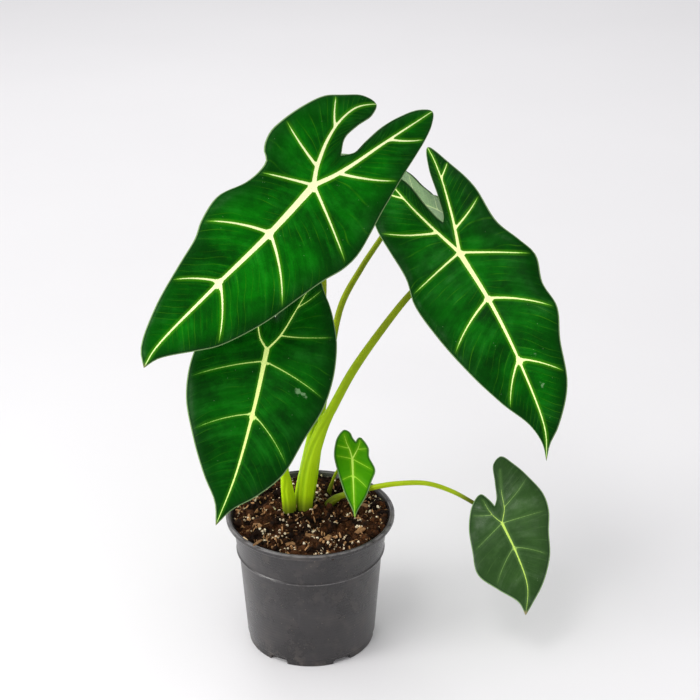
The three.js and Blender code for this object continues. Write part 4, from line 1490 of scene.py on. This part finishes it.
@dataclass
class Petiole:
    """A leaf's stem: grooved up its front, and sheathed with thin pale-edged wings at its base."""

    blade: Blade
    finishes: Finishes
    sides: int = 44
    steps: int = 150
    bury: float = 8.0
    front = np.array([0.15, -1.0, 0.1]) / np.linalg.norm([0.15, -1.0, 0.1])

    @property
    def shape(self) -> StemShape:
        """Returns the stem's own shape."""
        return self.blade.shape.stem

    def centre_line(self) -> np.ndarray:
        """Draws the stem's middle.

        Returns:
            Points from the buried end to the hub.
        """
        first = self.shape.route[0]
        buried = (first[0], first[1], -self.bury)
        route = np.array([buried, *self.shape.route, self.blade.shape.hub], float) + [0, 0, SOIL]
        return smooth_line(route, self.steps + 1)

    def section(self, place: float, angle: np.ndarray) -> tuple[np.ndarray, ...]:
        """Draws the stem's section.

        Args:
            place: share of the way from the buried end to the hub.
            angle: angles round the stem; the front is a quarter turn.

        Returns:
            Offsets across and to the front, how far each point is on a sheath's edge, and how far it is in
            its fold or groove, which the finish darkens with painted shade.
        """
        taper = self.shape.base_radius + (self.shape.tip_radius - self.shape.base_radius) * place**0.6
        sheathed = max(0.0, math.sin(math.pi * min(1.0, place / self.shape.sheath))) ** 0.7
        wing = min(1.0, max(0.0, 1 - place / self.shape.sheath) * 3.5)
        gap = (angle - math.pi / 2 + math.pi) % (2 * math.pi) - math.pi
        groove = 0.13 * np.exp(-((gap / 0.5) ** 2)) * (1 - wing)
        gap = gap + 0.55 * wing
        slit = 0.10 * wing * np.exp(-((gap / 0.24) ** 2))
        ridge = 0.05 * wing * np.exp(-(((np.abs(gap) - 0.40) / 0.17) ** 2))
        swell = 1 - groove - slit + ridge
        flare = 1 + 0.25 * max(0.0, (place - 0.96) / 0.04) ** 2
        width = taper * (1 + 0.45 * sheathed) * flare
        edge = wing * np.exp(-(((np.abs(gap) - 0.34) / 0.14) ** 2))
        # painted shade mask: how deep in the fold or groove each point is
        fold = wing * np.exp(-((gap / 0.33) ** 2)) + 0.5 * (1 - wing) * np.exp(-((gap / 0.45) ** 2))
        return width * np.cos(angle) * swell, taper * flare * np.sin(angle) * swell, edge, fold

    def build(self) -> Object:
        """Builds the petiole.

        Returns:
            The finished object.
        """
        line = self.centre_line()
        along = np.gradient(line, axis=0)
        along /= np.linalg.norm(along, axis=1)[:, None]
        angle = np.arange(self.sides) / self.sides * 2 * math.pi
        run = np.linalg.norm(np.diff(line, axis=0), axis=1).sum() / self.steps
        spots, edges, groove_shade, flows, climbs = [], [], [], [], []
        for step in range(self.steps + 1):
            place = step / self.steps
            front = self.front - along[step] * self.front.dot(along[step])
            front /= np.linalg.norm(front)
            across = np.cross(front, along[step])
            x, y, edge, fold = self.section(place, angle)
            uneven = 1 + 0.035 * noise.noise(Vector((place * 9, self.shape.base_radius, 3.0)))
            spots.append(line[step] + (across * x[:, None] + front * y[:, None]) * uneven)
            edges.append(edge)
            groove_shade.append(fold)
            flows.append(np.stack([angle * self.shape.base_radius, np.full(self.sides, step * run)], 1))
            climbs.append(np.full(self.sides, line[step][2] - SOIL))
        body = self.under_blade(np.vstack(spots))
        faces = grid_faces(self.steps + 1, self.sides, ring=True)
        last = self.steps * self.sides
        faces.append(tuple(range(self.sides - 1, -1, -1)))
        faces.append(tuple(range(last, last + self.sides)))
        draft = MeshDraft()
        draft.add(body * MM, faces, 0, flow=np.vstack(flows) * MM, climb=np.concatenate(climbs) * MM,
                  sheath_edge=np.concatenate(edges), fold=np.concatenate(groove_shade))
        return draft.build(f"{self.blade.shape.name}_leaf_stem", [self.finishes.get(self.shape.finish)])

    def under_blade(self, spots: np.ndarray) -> np.ndarray:
        """Keeps the stem's end below the blade's underside.

        Args:
            spots: the stem's points.

        Returns:
            The points, with those that would pass the blade moved back.
        """
        blade = self.blade
        offset = spots - blade.hub
        v = offset @ blade.along
        u = offset @ blade.right
        flat = np.stack([u, v], 1)
        limit = blade.lift(flat) - v**2 / (2 * blade.shape.bend) - blade.thickness * 0.8
        out = offset @ blade.out
        covered = (v > blade.shape.notch[1] * 0.85) & (np.abs(u) < blade.half_width * 0.6)
        excess = np.where(covered & (out > limit), out - limit, 0)
        return spots - blade.out * excess[:, None]


# ---- pot, mix and bark


@dataclass
class NurseryPot:
    """A thin round pot with a stepped lip, a ledge, and a foot with gaps for water."""

    size: PotSize
    finishes: Finishes
    segments: int = 144
    hole_radius: float = 2.8
    crisp: float = 35  # degrees past which an edge stays sharp

    def profile(self) -> list[tuple[float, float, float]]:
        """Lists the corners of the pot's section.

        Returns:
            Radius, height and round of each, from the axis out, up the outside and down the inside.
        """
        s = self.size
        ledge = s.height - s.band_height
        lip = s.height - s.rim_height
        inner = s.foot_radius - s.foot_width
        return [
            (0, 0, 0),
            (s.centre_radius, 0, 0.8),
            (s.centre_radius + s.rise_run, s.floor_rise, 0.8),
            (inner, s.floor_rise, 0.6),
            (inner, 0, 0.4),
            (s.foot_radius, 0, 0.5),
            (s.foot_radius, s.foot_height, 0.5),
            (s.body_bottom, s.foot_height + 0.9, 0.8),
            (s.body_top, ledge - 0.8, 0.3),
            (s.band_bottom + 0.5, ledge - 0.5, 0.45),
            (s.band_bottom + 0.9, ledge + 0.5, 0.5),
            (s.band_bottom + 0.1, ledge + 1.8, 0.6),
            (s.band_top, lip - 0.2, 0.5),
            (s.rim_radius - 0.6, lip, 0.4),
            (s.rim_radius, lip + 0.8, 0.5),
            (s.rim_radius, s.height - 0.7, 0.45),
            (s.rim_radius - 1.3, s.height - 0.55, 0.3),
            (s.rim_radius - 1.5, s.height, 0.3),
            (s.mouth_radius + 0.9, s.height, 0.45),
            (s.mouth_radius - 0.3, s.height - s.wall, 0.5),
            (s.band_top - s.wall + 0.2, lip - s.wall, 0.5),
            (s.band_bottom - s.wall, ledge + s.wall, 0.6),
            (s.body_top - s.wall, ledge, 0.6),
            (s.body_bottom - s.wall, s.floor_rise + s.floor, 1.2),
            (s.centre_radius + s.rise_run, s.floor_rise + s.floor, 0.8),
            (s.centre_radius, s.floor, 0.8),
            (0, s.floor, 0),
        ]

    @staticmethod
    def rounded(profile: list[tuple[float, float, float]], steps: int = 4) -> np.ndarray:
        """Rounds a profile's corners.

        Args:
            profile: radius, height and round of each corner.
            steps: how many points a round gets, less one.

        Returns:
            The points of the rounded profile.
        """
        points = []
        for index, (x, y, round_) in enumerate(profile):
            corner = np.array([x, y])
            if round_ == 0:
                points.append(corner)
                continue
            before, after = (np.array(profile[index + way][:2]) for way in (-1, 1))
            back, ahead = before - corner, after - corner
            reach = min(round_, 0.45 * np.linalg.norm(back), 0.45 * np.linalg.norm(ahead))
            start = corner + back / np.linalg.norm(back) * reach
            end = corner + ahead / np.linalg.norm(ahead) * reach
            for share in np.linspace(0, 1, steps + 1):
                points.append(start * (1 - share) ** 2 + corner * 2 * share * (1 - share) + end * share**2)
        return np.array(points)

    def cutters(self) -> Object:
        """Builds the blocks and pins that cut the foot's gaps and the drain holes.

        Returns:
            One object that holds them all.
        """
        s = self.size
        mesh = bmesh.new()
        for index in range(s.notches):
            turn = index / s.notches * 2 * math.pi
            made = bmesh.ops.create_cube(mesh, size=1)["verts"]
            for vertex in made:
                x = vertex.co.x * 7.6 + s.foot_radius - s.foot_width + 3.6
                flare = 1 if vertex.co.z > 0 else 1.12
                y = vertex.co.y * s.notch_width * flare
                z = vertex.co.z * s.notch_height * 2
                vertex.co = self.turned(x, y, z, turn)
            hole = {"radius1": self.hole_radius, "radius2": self.hole_radius, "depth": 8, "segments": 20}
            made = bmesh.ops.create_cone(mesh, cap_ends=True, **hole)["verts"]
            for vertex in made:
                vertex.co = self.turned(vertex.co.x + s.foot_radius - 9, vertex.co.y, vertex.co.z + 3.2, turn)
        data = bpy.data.meshes.new("pot_cutters")
        bmesh.ops.recalc_face_normals(mesh, faces=mesh.faces)
        mesh.to_mesh(data)
        mesh.free()
        return add_object("pot_cutters", data)

    @staticmethod
    def turned(x: float, y: float, z: float, turn: float) -> Vector:
        """Turns a point about the pot's axis and gives it in metres."""
        c, s = math.cos(turn), math.sin(turn)
        return Vector((x * c - y * s, x * s + y * c, z)) * MM

    def build(self) -> Object:
        """Builds the pot.

        Returns:
            The finished object.
        """
        profile = self.rounded(self.profile())
        turn = np.arange(self.segments) / self.segments * 2 * math.pi
        rings = profile[1:-1]
        grid = np.stack([rings[:, :1] * np.cos(turn), rings[:, :1] * np.sin(turn),
                         np.broadcast_to(rings[:, 1:], (len(rings), self.segments))], -1)
        count = len(rings) * self.segments
        spots = np.vstack([grid.reshape(-1, 3), [[0, 0, 0], [0, 0, self.size.floor]]])
        faces = grid_faces(len(rings), self.segments, ring=True)
        for side in range(self.segments):
            after = (side + 1) % self.segments
            faces.append((count, after, side))
            last = count - self.segments
            faces.append((count + 1, last + side, last + after))
        draft = MeshDraft()
        draft.add(spots * MM, faces)
        pot = draft.build("pot_shell", [self.finishes.get(Skin.POT)])
        cutter = self.cutters()
        cut = pot.modifiers.new("gaps", "BOOLEAN")
        cut.operation = "DIFFERENCE"
        cut.solver = "EXACT"
        cut.object = cutter
        finish_modifiers(pot)
        bpy.data.objects.remove(cutter)
        shade_by_angle(pot, self.crisp)
        return pot


def shade_by_angle(piece: Object, degrees: float) -> None:
    """Keeps edges sharper than an angle crisp and shades the rest smooth.

    Args:
        piece: the piece.
        degrees: the angle.
    """
    mesh = bmesh.new()
    mesh.from_mesh(piece.data)
    for edge in mesh.edges:
        edge.smooth = len(edge.link_faces) != 2 or edge.calc_face_angle(0) < math.radians(degrees)
    for face in mesh.faces:
        face.smooth = True
    mesh.to_mesh(piece.data)
    mesh.free()


@dataclass(frozen=True)
class MixSize:
    """Shape of the mix's top: a low crown, a mound round the stems, and a hollow beside them."""

    crown: float = SOIL + 1.2
    edge_dip: float = 0.6
    tilt: float = 0.5
    mound: tuple[float, float, float, float] = (-5, 10, 1.6, 17)
    hollow: tuple[float, float, float, float] = (19, 30, 6.0, 8)
    rings: int = 44
    segments: int = 150


@dataclass(frozen=True)
class Scatter:
    """One kind of loose grain: how dense, how big, how flat, how ragged, and its seed."""

    name: str
    finish: Skin
    slot: str
    density: float
    spacing: float
    size: tuple[float, float]
    stretch: tuple[Colour, Colour]
    ragged: float
    detail: int
    seed: int
    sink: float = 0.0
    patchy: float = 0.0  # 0 spreads the grains evenly, 1 gathers them in patches


class GrainTree:
    """Geometry nodes that scatter ragged grains over a surface, as real mesh."""

    def __init__(self) -> None:
        """Builds the tree."""
        inputs = {
            "Geometry": ("NodeSocketGeometry",),
            "Density": ("NodeSocketFloat", 1e5),
            "Spacing": ("NodeSocketFloat", 0.001),
            "Smallest": ("NodeSocketFloat", 0.5),
            "Largest": ("NodeSocketFloat", 1.0),
            "Least Stretch": ("NodeSocketVector", (1, 1, 1)),
            "Most Stretch": ("NodeSocketVector", (1, 1, 1)),
            "Ragged": ("NodeSocketFloat", 0.0005),
            "Detail": ("NodeSocketInt", 1),
            "Seed": ("NodeSocketInt", 1),
            "Sink": ("NodeSocketFloat", 0.0),
            "Patchy": ("NodeSocketFloat", 0.0),
            "Finish": ("NodeSocketMaterial",),
        }
        group = GroupBuilder("loose_grains", "GeometryNodeTree", inputs, {"Geometry": "NodeSocketGeometry"})
        given = group.given
        seed = given["Seed"]
        room = group.add("GeometryNodeInputNamedAttribute", {"Name": "room"}, data_type="FLOAT")
        spot = group.add("GeometryNodeInputPosition").outputs[0]
        patches = group.ramp(group.noise(spot, 95.0, 2), 0.44, 0.60)
        evenly = group.math("SUBTRACT", 1.0, given["Patchy"])
        patches = group.math("ADD", group.math("MULTIPLY", patches, given["Patchy"]), evenly)
        points = group.add(
            "GeometryNodeDistributePointsOnFaces",
            {
                "Mesh": given["Geometry"],
                "Distance Min": given["Spacing"],
                "Density Max": given["Density"],
                "Density Factor": group.math("MULTIPLY", room.outputs["Attribute"], patches),
                "Seed": seed,
            },
            distribute_method="POISSON",
        )
        ball = group.add("GeometryNodeMeshIcoSphere", {"Radius": 0.5, "Subdivisions": given["Detail"]})
        size = group.random(given["Smallest"], given["Largest"], seed)
        stretch = group.random(given["Least Stretch"], given["Most Stretch"], seed)
        grains = group.add(
            "GeometryNodeInstanceOnPoints",
            {
                "Points": points.outputs["Points"],
                "Instance": ball.outputs["Mesh"],
                "Rotation": group.random((0, 0, 0), (6.28, 6.28, 6.28), seed),
                "Scale": group.vector("MULTIPLY", stretch, size),
            },
        )
        named = group.add(
            "GeometryNodeStoreNamedAttribute",
            {"Geometry": grains.outputs[0], "Name": "shade", "Value": group.random(0.0, 1.0, seed)},
            data_type="FLOAT",
            domain="INSTANCE",
        )
        real = group.add("GeometryNodeRealizeInstances", {"Geometry": named.outputs[0]})
        place = group.add("GeometryNodeInputPosition").outputs[0]
        rough = group.noise(place, 1150.0, 2.0, output="Color")
        push = group.vector("SCALE", group.vector("SUBTRACT", rough, (0.5, 0.5, 0.5)), given["Ragged"])
        down = group.add("ShaderNodeCombineXYZ", {2: given["Sink"]}).outputs[0]
        offset = group.vector("SUBTRACT", push, down)
        moved = group.add("GeometryNodeSetPosition", {"Geometry": real.outputs[0], "Offset": offset})
        finish = {"Geometry": moved.outputs[0], "Material": given["Finish"]}
        self.tree = group.give(Geometry=group.add("GeometryNodeSetMaterial", finish).outputs[0])

    def set_inputs(self, modifier: Modifier, **values: object) -> None:
        """Sets a modifier's inputs.

        Args:
            modifier: the modifier that holds this tree.
            **values: the values by input name, with underscores for spaces.
        """
        items = self.tree.interface.items_tree
        sockets = {item.name: item.identifier for item in items if item.in_out == "INPUT"}
        for label, value in values.items():
            modifier[sockets[label.replace("_", " ")]] = value


@dataclass
class PottingMix:
    """The plug of mix with its uneven top, and the crumbs, perlite and bark that lie on it."""

    size: MixSize
    pot: PotSize
    stems: list[Petiole]
    finishes: Finishes
    grains = (
        Scatter("mix_crumbs", Skin.PEAT, "potting_mix", 5.2e5, 0.0009, (0.0011, 0.0036),
                ((0.8, 0.5, 0.45), (1.7, 1.0, 0.9)), 0.0018, 1, 3, 0.0003),
        Scatter("mix_clods", Skin.PEAT, "potting_mix", 2.6e4, 0.0034, (0.0035, 0.0085),
                ((0.7, 0.5, 0.4), (1.4, 1.0, 0.8)), 0.0050, 2, 7, 0.0003),
        Scatter("mix_perlite", Skin.PERLITE, "potting_mix", 8.5e4, 0.0008, (0.0006, 0.0023),
                ((0.7, 0.5, 0.45), (1.5, 1.1, 1.0)), 0.0015, 2, 11, -0.0009, 1.0),
        Scatter("mix_bark_bits", Skin.BARK, "bark", 6.0e4, 0.0014, (0.0008, 0.0034),
                ((1.0, 0.3, 0.15), (2.6, 0.8, 0.4)), 0.0011, 2, 23, -0.0008, 0.6),
    )

    @property
    def wall_radius(self) -> float:
        """Returns the radius of the mix's top."""
        return self.pot.band_top

    def surface(self, x: float, y: float) -> float:
        """Measures the mix's top.

        Args:
            x: place to the right of the pot's axis.
            y: place behind it.

        Returns:
            The height of the top there.
        """
        radius = math.hypot(x, y) / self.wall_radius
        height = self.size.crown - self.size.edge_dip * radius**2
        height -= self.size.tilt * y / self.wall_radius * radius
        for (mx, my, rise, spread), way in ((self.size.mound, 1), (self.size.hollow, -1)):
            height += way * rise * math.exp(-((x - mx) ** 2 + (y - my) ** 2) / spread**2)
        height += 2.1 * noise.fractal(Vector((x / 11, y / 11, 4.0)), 1.0, 2.0, 3)
        return height + 0.9 * noise.fractal(Vector((x / 3.4, y / 3.4, 9.0)), 0.8, 2.1, 3)

    def top(self) -> tuple[np.ndarray, Faces]:
        """Draws the top as rings round a centre point.

        Returns:
            Its points, the centre last, and its faces.
        """
        turn = np.arange(self.size.segments) / self.size.segments * 2 * math.pi
        spots = []
        for ring in range(1, self.size.rings + 1):
            radius = self.wall_radius * ring / self.size.rings
            spots += [(radius * math.cos(a), radius * math.sin(a)) for a in turn]
        spots.append((0, 0))
        points = np.array([(x, y, self.surface(x, y)) for x, y in spots])
        faces = [face[::-1] for face in grid_faces(self.size.rings, self.size.segments, ring=True)]
        centre = len(points) - 1
        faces += [(centre, side, (side + 1) % self.size.segments) for side in range(self.size.segments)]
        return points, faces

    def room(self, points: np.ndarray) -> np.ndarray:
        """Finds where loose grains have room.

        Args:
            points: points of the top.

        Returns:
            1 at each point with room, falling to 0 at stems and at the wall.
        """
        free = np.clip((self.wall_radius - 0.2 - np.hypot(points[:, 0], points[:, 1])) / 1.0, 0, 1)
        for stem in self.stems:
            line = stem.centre_line()
            near = line[np.abs(line[:, 2] - self.size.crown) < 3.5]
            gap = np.min(np.linalg.norm(points[:, None, :2] - near[None, :, :2], axis=2), axis=1)
            free *= np.clip((gap - stem.shape.base_radius * 1.05) / 1.2, 0, 1)
        return free

    def build(self) -> list[Object]:
        """Builds the plug and its loose grains.

        Returns:
            The plug first, then each kind of grain.
        """
        points, faces = self.top()
        plug = self.build_plug(points, faces)
        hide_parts("potting_mix")
        draft = MeshDraft()
        draft.add(points * MM, faces, 0, room=self.room(points))
        bed = draft.build("bed", [])
        grains = GrainTree()
        pieces = [plug]
        for kind in self.grains:
            piece = self.scatter(bed, grains, kind)
            pieces.append(piece)
        bpy.data.objects.remove(bed)
        return pieces

    def build_plug(self, points: np.ndarray, faces: Faces) -> Object:
        """Closes the top with a side and a base that follow the pot's inside.

        Args:
            points: points of the top.
            faces: its faces.

        Returns:
            The plug as one closed object.
        """
        s = self.pot
        ledge = s.height - s.band_height
        side = [
            (s.band_top - s.wall - 0.5, s.height - s.rim_height - s.wall - 0.6),
            (s.band_bottom - s.wall - 0.4, ledge + s.wall),
            (s.body_top - s.wall - 0.4, ledge - 0.5),
            (s.body_bottom - s.wall - 0.4, s.floor_rise + s.floor + 0.4),
            (s.centre_radius + s.rise_run, s.floor_rise + s.floor + 0.4),
            (s.centre_radius - 0.4, s.floor + 0.4),
        ]
        segments = self.size.segments
        turn = np.arange(segments) / segments * 2 * math.pi
        skirt = [np.stack([r * np.cos(turn), r * np.sin(turn), np.full(segments, z)], 1) for r, z in side]
        base = np.array([[0, 0, s.floor + 0.4]])
        draft = MeshDraft()
        shade = np.array([0.35 + 0.4 * noise.noise(Vector(point) * 0.12) for point in points])
        draft.add(points * MM, faces, 0, shade=shade)
        first = (self.size.rings - 1) * segments
        below = draft.add(np.vstack([*skirt, base]) * MM, [], 0, shade=np.full(len(side) * segments + 1, 0.2))
        rows = [list(range(first, first + segments))]
        starts = (below + row * segments for row in range(len(side)))
        rows += [list(range(start, start + segments)) for start in starts]
        made = []
        for upper, lower in zip(rows, rows[1:]):
            for column in range(segments):
                after = (column + 1) % segments
                made.append((upper[column], lower[column], lower[after], upper[after]))
        centre = below + len(side) * segments
        made += [(rows[-1][(column + 1) % segments], rows[-1][column], centre) for column in range(segments)]
        draft.faces += made
        draft.finish_of_face += [0] * len(made)
        return draft.build("mix_plug", [self.finishes.get(Skin.PEAT)])

    def scatter(self, bed: Object, grains: GrainTree, kind: Scatter) -> Object:
        """Scatters one kind of grain.

        Args:
            bed: the surface, with its room attribute.
            grains: the node tree.
            kind: what to scatter.

        Returns:
            The grains as one plain mesh object.
        """
        spread = bed.modifiers.new(kind.name, "NODES")
        spread.node_group = grains.tree
        grains.set_inputs(
            spread, Density=kind.density, Spacing=kind.spacing, Smallest=kind.size[0], Largest=kind.size[1],
            Least_Stretch=kind.stretch[0], Most_Stretch=kind.stretch[1], Ragged=kind.ragged,
            Detail=kind.detail, Seed=kind.seed, Sink=kind.sink, Patchy=kind.patchy,
            Finish=self.finishes.get(kind.finish),
        )
        mesh = evaluated_copy(bed)
        bed.modifiers.clear()
        mesh.name = kind.name
        return add_object(kind.name, mesh)


@dataclass(frozen=True)
class BarkChip:
    """A loose flake: its bearing and distance from the pot's axis, size, turn, tilt and height on the mix."""

    bearing: float
    radius: float
    size: tuple[float, float, float]
    turn: float
    tilt: float = 0.0
    lift: float = -0.5
    finish: Skin = Skin.BARK


@dataclass
class BarkChips:
    """The larger flakes of bark on the mix and the slivers that lie over the lip."""

    mix: PottingMix
    finishes: Finishes
    edge_radius = 54.2
    chips = (
        BarkChip(250, edge_radius - 12, (11, 6, 3), 20),
        BarkChip(292, edge_radius - 19, (9, 5, 2.6), 75),
        BarkChip(205, edge_radius - 14, (8, 5, 2.4), -35),
        BarkChip(325, edge_radius - 11, (10, 5, 2.8), 50),
        BarkChip(18, edge_radius - 13, (9, 6, 2.4), -10),
        BarkChip(268, edge_radius - 25, (7, 4, 2.4), 110),
    )
    slivers = (
        BarkChip(232, 57.0, (13, 2.6, 1.5), 62, 8, 5.3),
        BarkChip(221, 58.2, (6.5, 1.0, 0.7), 132, 0, 4.6, Skin.PERLITE),
    )

    def seat(self, chip: BarkChip) -> Matrix:
        """Finds where a flake lies.

        Args:
            chip: the flake.

        Returns:
            The matrix that turns, tilts and moves it there, in metres.
        """
        bearing = math.radians(chip.bearing)
        x, y = chip.radius * math.cos(bearing), chip.radius * math.sin(bearing)
        ground = self.mix.surface(x, y) if chip.radius < self.edge_radius else SOIL
        place = Vector((x, y, ground + chip.size[2] / 2 + chip.lift)) * MM
        turn = Matrix.Rotation(math.radians(chip.turn), 4, "Z")
        tilt = Matrix.Rotation(math.radians(chip.tilt), 4, "Y")
        return Matrix.Translation(place) @ turn @ tilt

    def flake(self, name: str, chip: BarkChip, seed: int) -> Object:
        """Builds one flake as the hull of points that its seed picks, with worn edges.

        Args:
            name: the piece's name.
            chip: the flake.
            seed: picks its shape.

        Returns:
            The finished object.
        """
        picks = np.random.default_rng(seed)
        mesh = bmesh.new()
        for _ in range(22):
            spot = picks.uniform(-1, 1, 3)
            spot[:2] /= max(1.0, (abs(spot[0]) ** 3 + abs(spot[1]) ** 3) ** (1 / 3))
            mesh.verts.new(Vector(spot * np.array(chip.size) / 2) * MM)
        hull = bmesh.ops.convex_hull(mesh, input=mesh.verts)
        bmesh.ops.delete(mesh, geom=[v for v in hull["geom_interior"] if isinstance(v, bmesh.types.BMVert)])
        bmesh.ops.bevel(mesh, geom=mesh.edges[:], offset=chip.size[2] * 0.07 * MM, segments=1, affect="EDGES")
        bmesh.ops.subdivide_edges(mesh, edges=mesh.edges[:], cuts=1, use_grid_fill=True)
        bmesh.ops.triangulate(mesh, faces=mesh.faces[:])
        seat = self.seat(chip)
        for vertex in mesh.verts:
            layers = noise.noise(Vector((vertex.co.x * 150, vertex.co.y * 900, vertex.co.z * 900 + seed)))
            co = vertex.co + vertex.co.normalized() * layers * chip.size[2] * 0.11 * MM
            vertex.co = seat @ co
        data = bpy.data.meshes.new(name)
        bmesh.ops.recalc_face_normals(mesh, faces=mesh.faces[:])
        mesh.to_mesh(data)
        mesh.free()
        data.materials.append(self.finishes.get(chip.finish))
        shade = data.attributes.new("shade", "FLOAT", "POINT")
        shade.data.foreach_set("value", np.full(len(data.vertices), picks.uniform(0.1, 0.5), np.float32))
        return add_object(name, data)

    def build(self) -> list[Object]:
        """Builds every flake.

        Returns:
            The flakes and slivers.
        """
        pieces = []
        for index, chip in enumerate(self.chips, 1):
            piece = self.flake(f"bark_flake_{index}", chip, 40 + index)
            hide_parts(f"bark_chip_{index}")
            pieces.append(piece)
        for index, chip in enumerate(self.slivers, 1):
            pieces.append(self.flake(f"rim_sliver_{index}", chip, 70 + index))
        return pieces


# ---- studio


@dataclass(frozen=True)
class View:
    """Where the camera stands, in metres, how it is turned, in degrees, and its lens."""

    place: Point = (0.0283, -1.1005, 0.7692)
    pitch: float = 63.88
    turn: float = 0.0
    lens: float = 92.6


@dataclass(frozen=True)
class Lamp:
    """A square area lamp: its place, aim and size in metres, its power in watts and its colour."""

    name: str
    place: Point
    aim: Point
    size: float
    power: float
    colour: Colour

    def build(self) -> None:
        """Adds the lamp to the scene."""
        light = bpy.data.lights.new(self.name, "AREA")
        light.size = self.size
        light.energy = self.power
        light.color = self.colour
        lamp = add_object(self.name, light)
        lamp.location = self.place
        lamp.rotation_euler = (Vector(self.aim) - Vector(self.place)).to_track_quat("-Z", "Y").to_euler()


@dataclass(frozen=True)
class Sun:
    """A wide, soft sun: how far it leans to the left and the front, its power and its spread in degrees."""

    lean: tuple[float, float] = (-34, -10)
    power: float = 0.45
    spread: float = 50

    def build(self) -> None:
        """Adds the sun to the scene."""
        light = bpy.data.lights.new("sun", "SUN")
        light.energy = self.power
        light.angle = math.radians(self.spread)
        lamp = add_object("sun", light)
        lamp.rotation_euler = (math.radians(-self.lean[1]), math.radians(self.lean[0]), 0)


@dataclass
class Studio:
    """A pale floor, soft lamps and the camera."""

    view: View
    floor_size: float = 8.0
    air: Colour = (0.965, 0.955, 0.97)
    air_strength: float = 0.73
    lamps = (
        Lamp("top", (-0.22, -0.55, 1.20), (0, 0, 0.10), 0.32, 2.4, (1.0, 0.99, 0.98)),
        Lamp("fill", (0.95, -0.75, 0.45), (0.1, 0, 0.05), 0.7, 1.1, (1.0, 0.99, 1.0)),
        Lamp("key", (-0.95, -0.45, 0.42), (0, 0, 0.08), 0.5, 7.4, (1.0, 0.99, 0.97)),
        Lamp("back", (-0.3, 1.3, 1.3), (0, 0, 0.25), 1.0, 6, (1.0, 1.0, 1.0)),
    )

    def floor_finish(self) -> Material:
        """Makes the floor's matt, nearly white material.

        Returns:
            The material.
        """
        nodes, shader, material = Finish().start("studio_floor", Roughness=0.9, Specular_IOR_Level=0.1)
        space = nodes.add("ShaderNodeTexCoord").outputs["Object"]
        colour = nodes.mix(nodes.noise(space, 3.0), (0.78, 0.775, 0.785), (0.82, 0.815, 0.825))
        nodes.tree.links.new(colour, shader.inputs["Base Color"])
        return material

    def build(self) -> None:
        """Builds the floor, the air's light, the lamps and the camera."""
        bpy.ops.mesh.primitive_plane_add(size=self.floor_size)
        floor = bpy.context.object
        floor.name = "floor"
        floor.data.materials.append(self.floor_finish())
        floor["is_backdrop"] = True
        scene = bpy.context.scene
        world = bpy.data.worlds.new("studio")
        world.use_nodes = True
        background = world.node_tree.nodes["Background"].inputs
        background[0].default_value = (*self.air, 1)
        background[1].default_value = self.air_strength
        scene.world = world
        for light in (Sun(), *self.lamps):
            light.build()
        self.build_camera()
        scene.view_settings.view_transform = "Standard"
        scene.view_settings.look = "None"

    def build_camera(self) -> None:
        """Builds the camera and makes it the scene's own."""
        camera = bpy.data.cameras.new("camera")
        camera.lens = self.view.lens
        camera.sensor_width = 36
        camera.clip_start = 0.01
        eye = add_object("camera", camera)
        eye.location = self.view.place
        eye.rotation_euler = (math.radians(self.view.pitch), 0, math.radians(self.view.turn))
        bpy.context.scene.camera = eye


# ---- assembly


class SizeNote:
    """The frame's box, measured before the look is built."""

    def __init__(self) -> None:
        """Measures the frame's nodes."""
        self.cad = [list(corner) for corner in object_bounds()]

    def write(self) -> None:
        """Updates the view layer; nothing is written."""
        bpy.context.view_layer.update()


def dress_rootstocks(frame: dict, finishes: Finishes) -> None:
    """Gives the buried rootstocks, which keep their frame shape, their finish.

    Args:
        finishes: the object's finishes.
    """
    for name in ("main_rootstock", "offset_rootstock"):
        node = frame["nodes"][name]
        node.data.materials.clear()
        node.data.materials.append(finishes.get(Skin.CORK))
        LOG.info("%s dressed", name)


def main() -> None:
    """Builds the object, its studio and its camera."""
    logging.basicConfig(level=logging.INFO, format="%(message)s")
    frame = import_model()
    size_note = SizeNote()
    finishes = Finishes()
    dress_rootstocks(frame, finishes)
    pieces = []
    pot = NurseryPot(PotSize(), finishes).build()
    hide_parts("nursery_pot")
    pieces.append(pot)
    petioles = []
    for shape in LEAVES:
        blade = Blade(shape, finishes)
        sheet = blade.build()
        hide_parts(f"{shape.name}_blade")
        petiole = Petiole(blade, finishes)
        stem = petiole.build()
        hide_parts(f"{shape.name}_petiole")
        petioles.append(petiole)
        pieces += [sheet, stem]
    mix = PottingMix(MixSize(), PotSize(), petioles, finishes)
    pieces += mix.build()
    pieces += BarkChips(mix, finishes).build()
    for piece in pieces:
        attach(piece, BODY)
        LOG.info("%s: %d faces", piece.name, len(piece.data.polygons))
    Studio(View()).build()
    size_note.write()


if __name__ == "__main__":
    main()
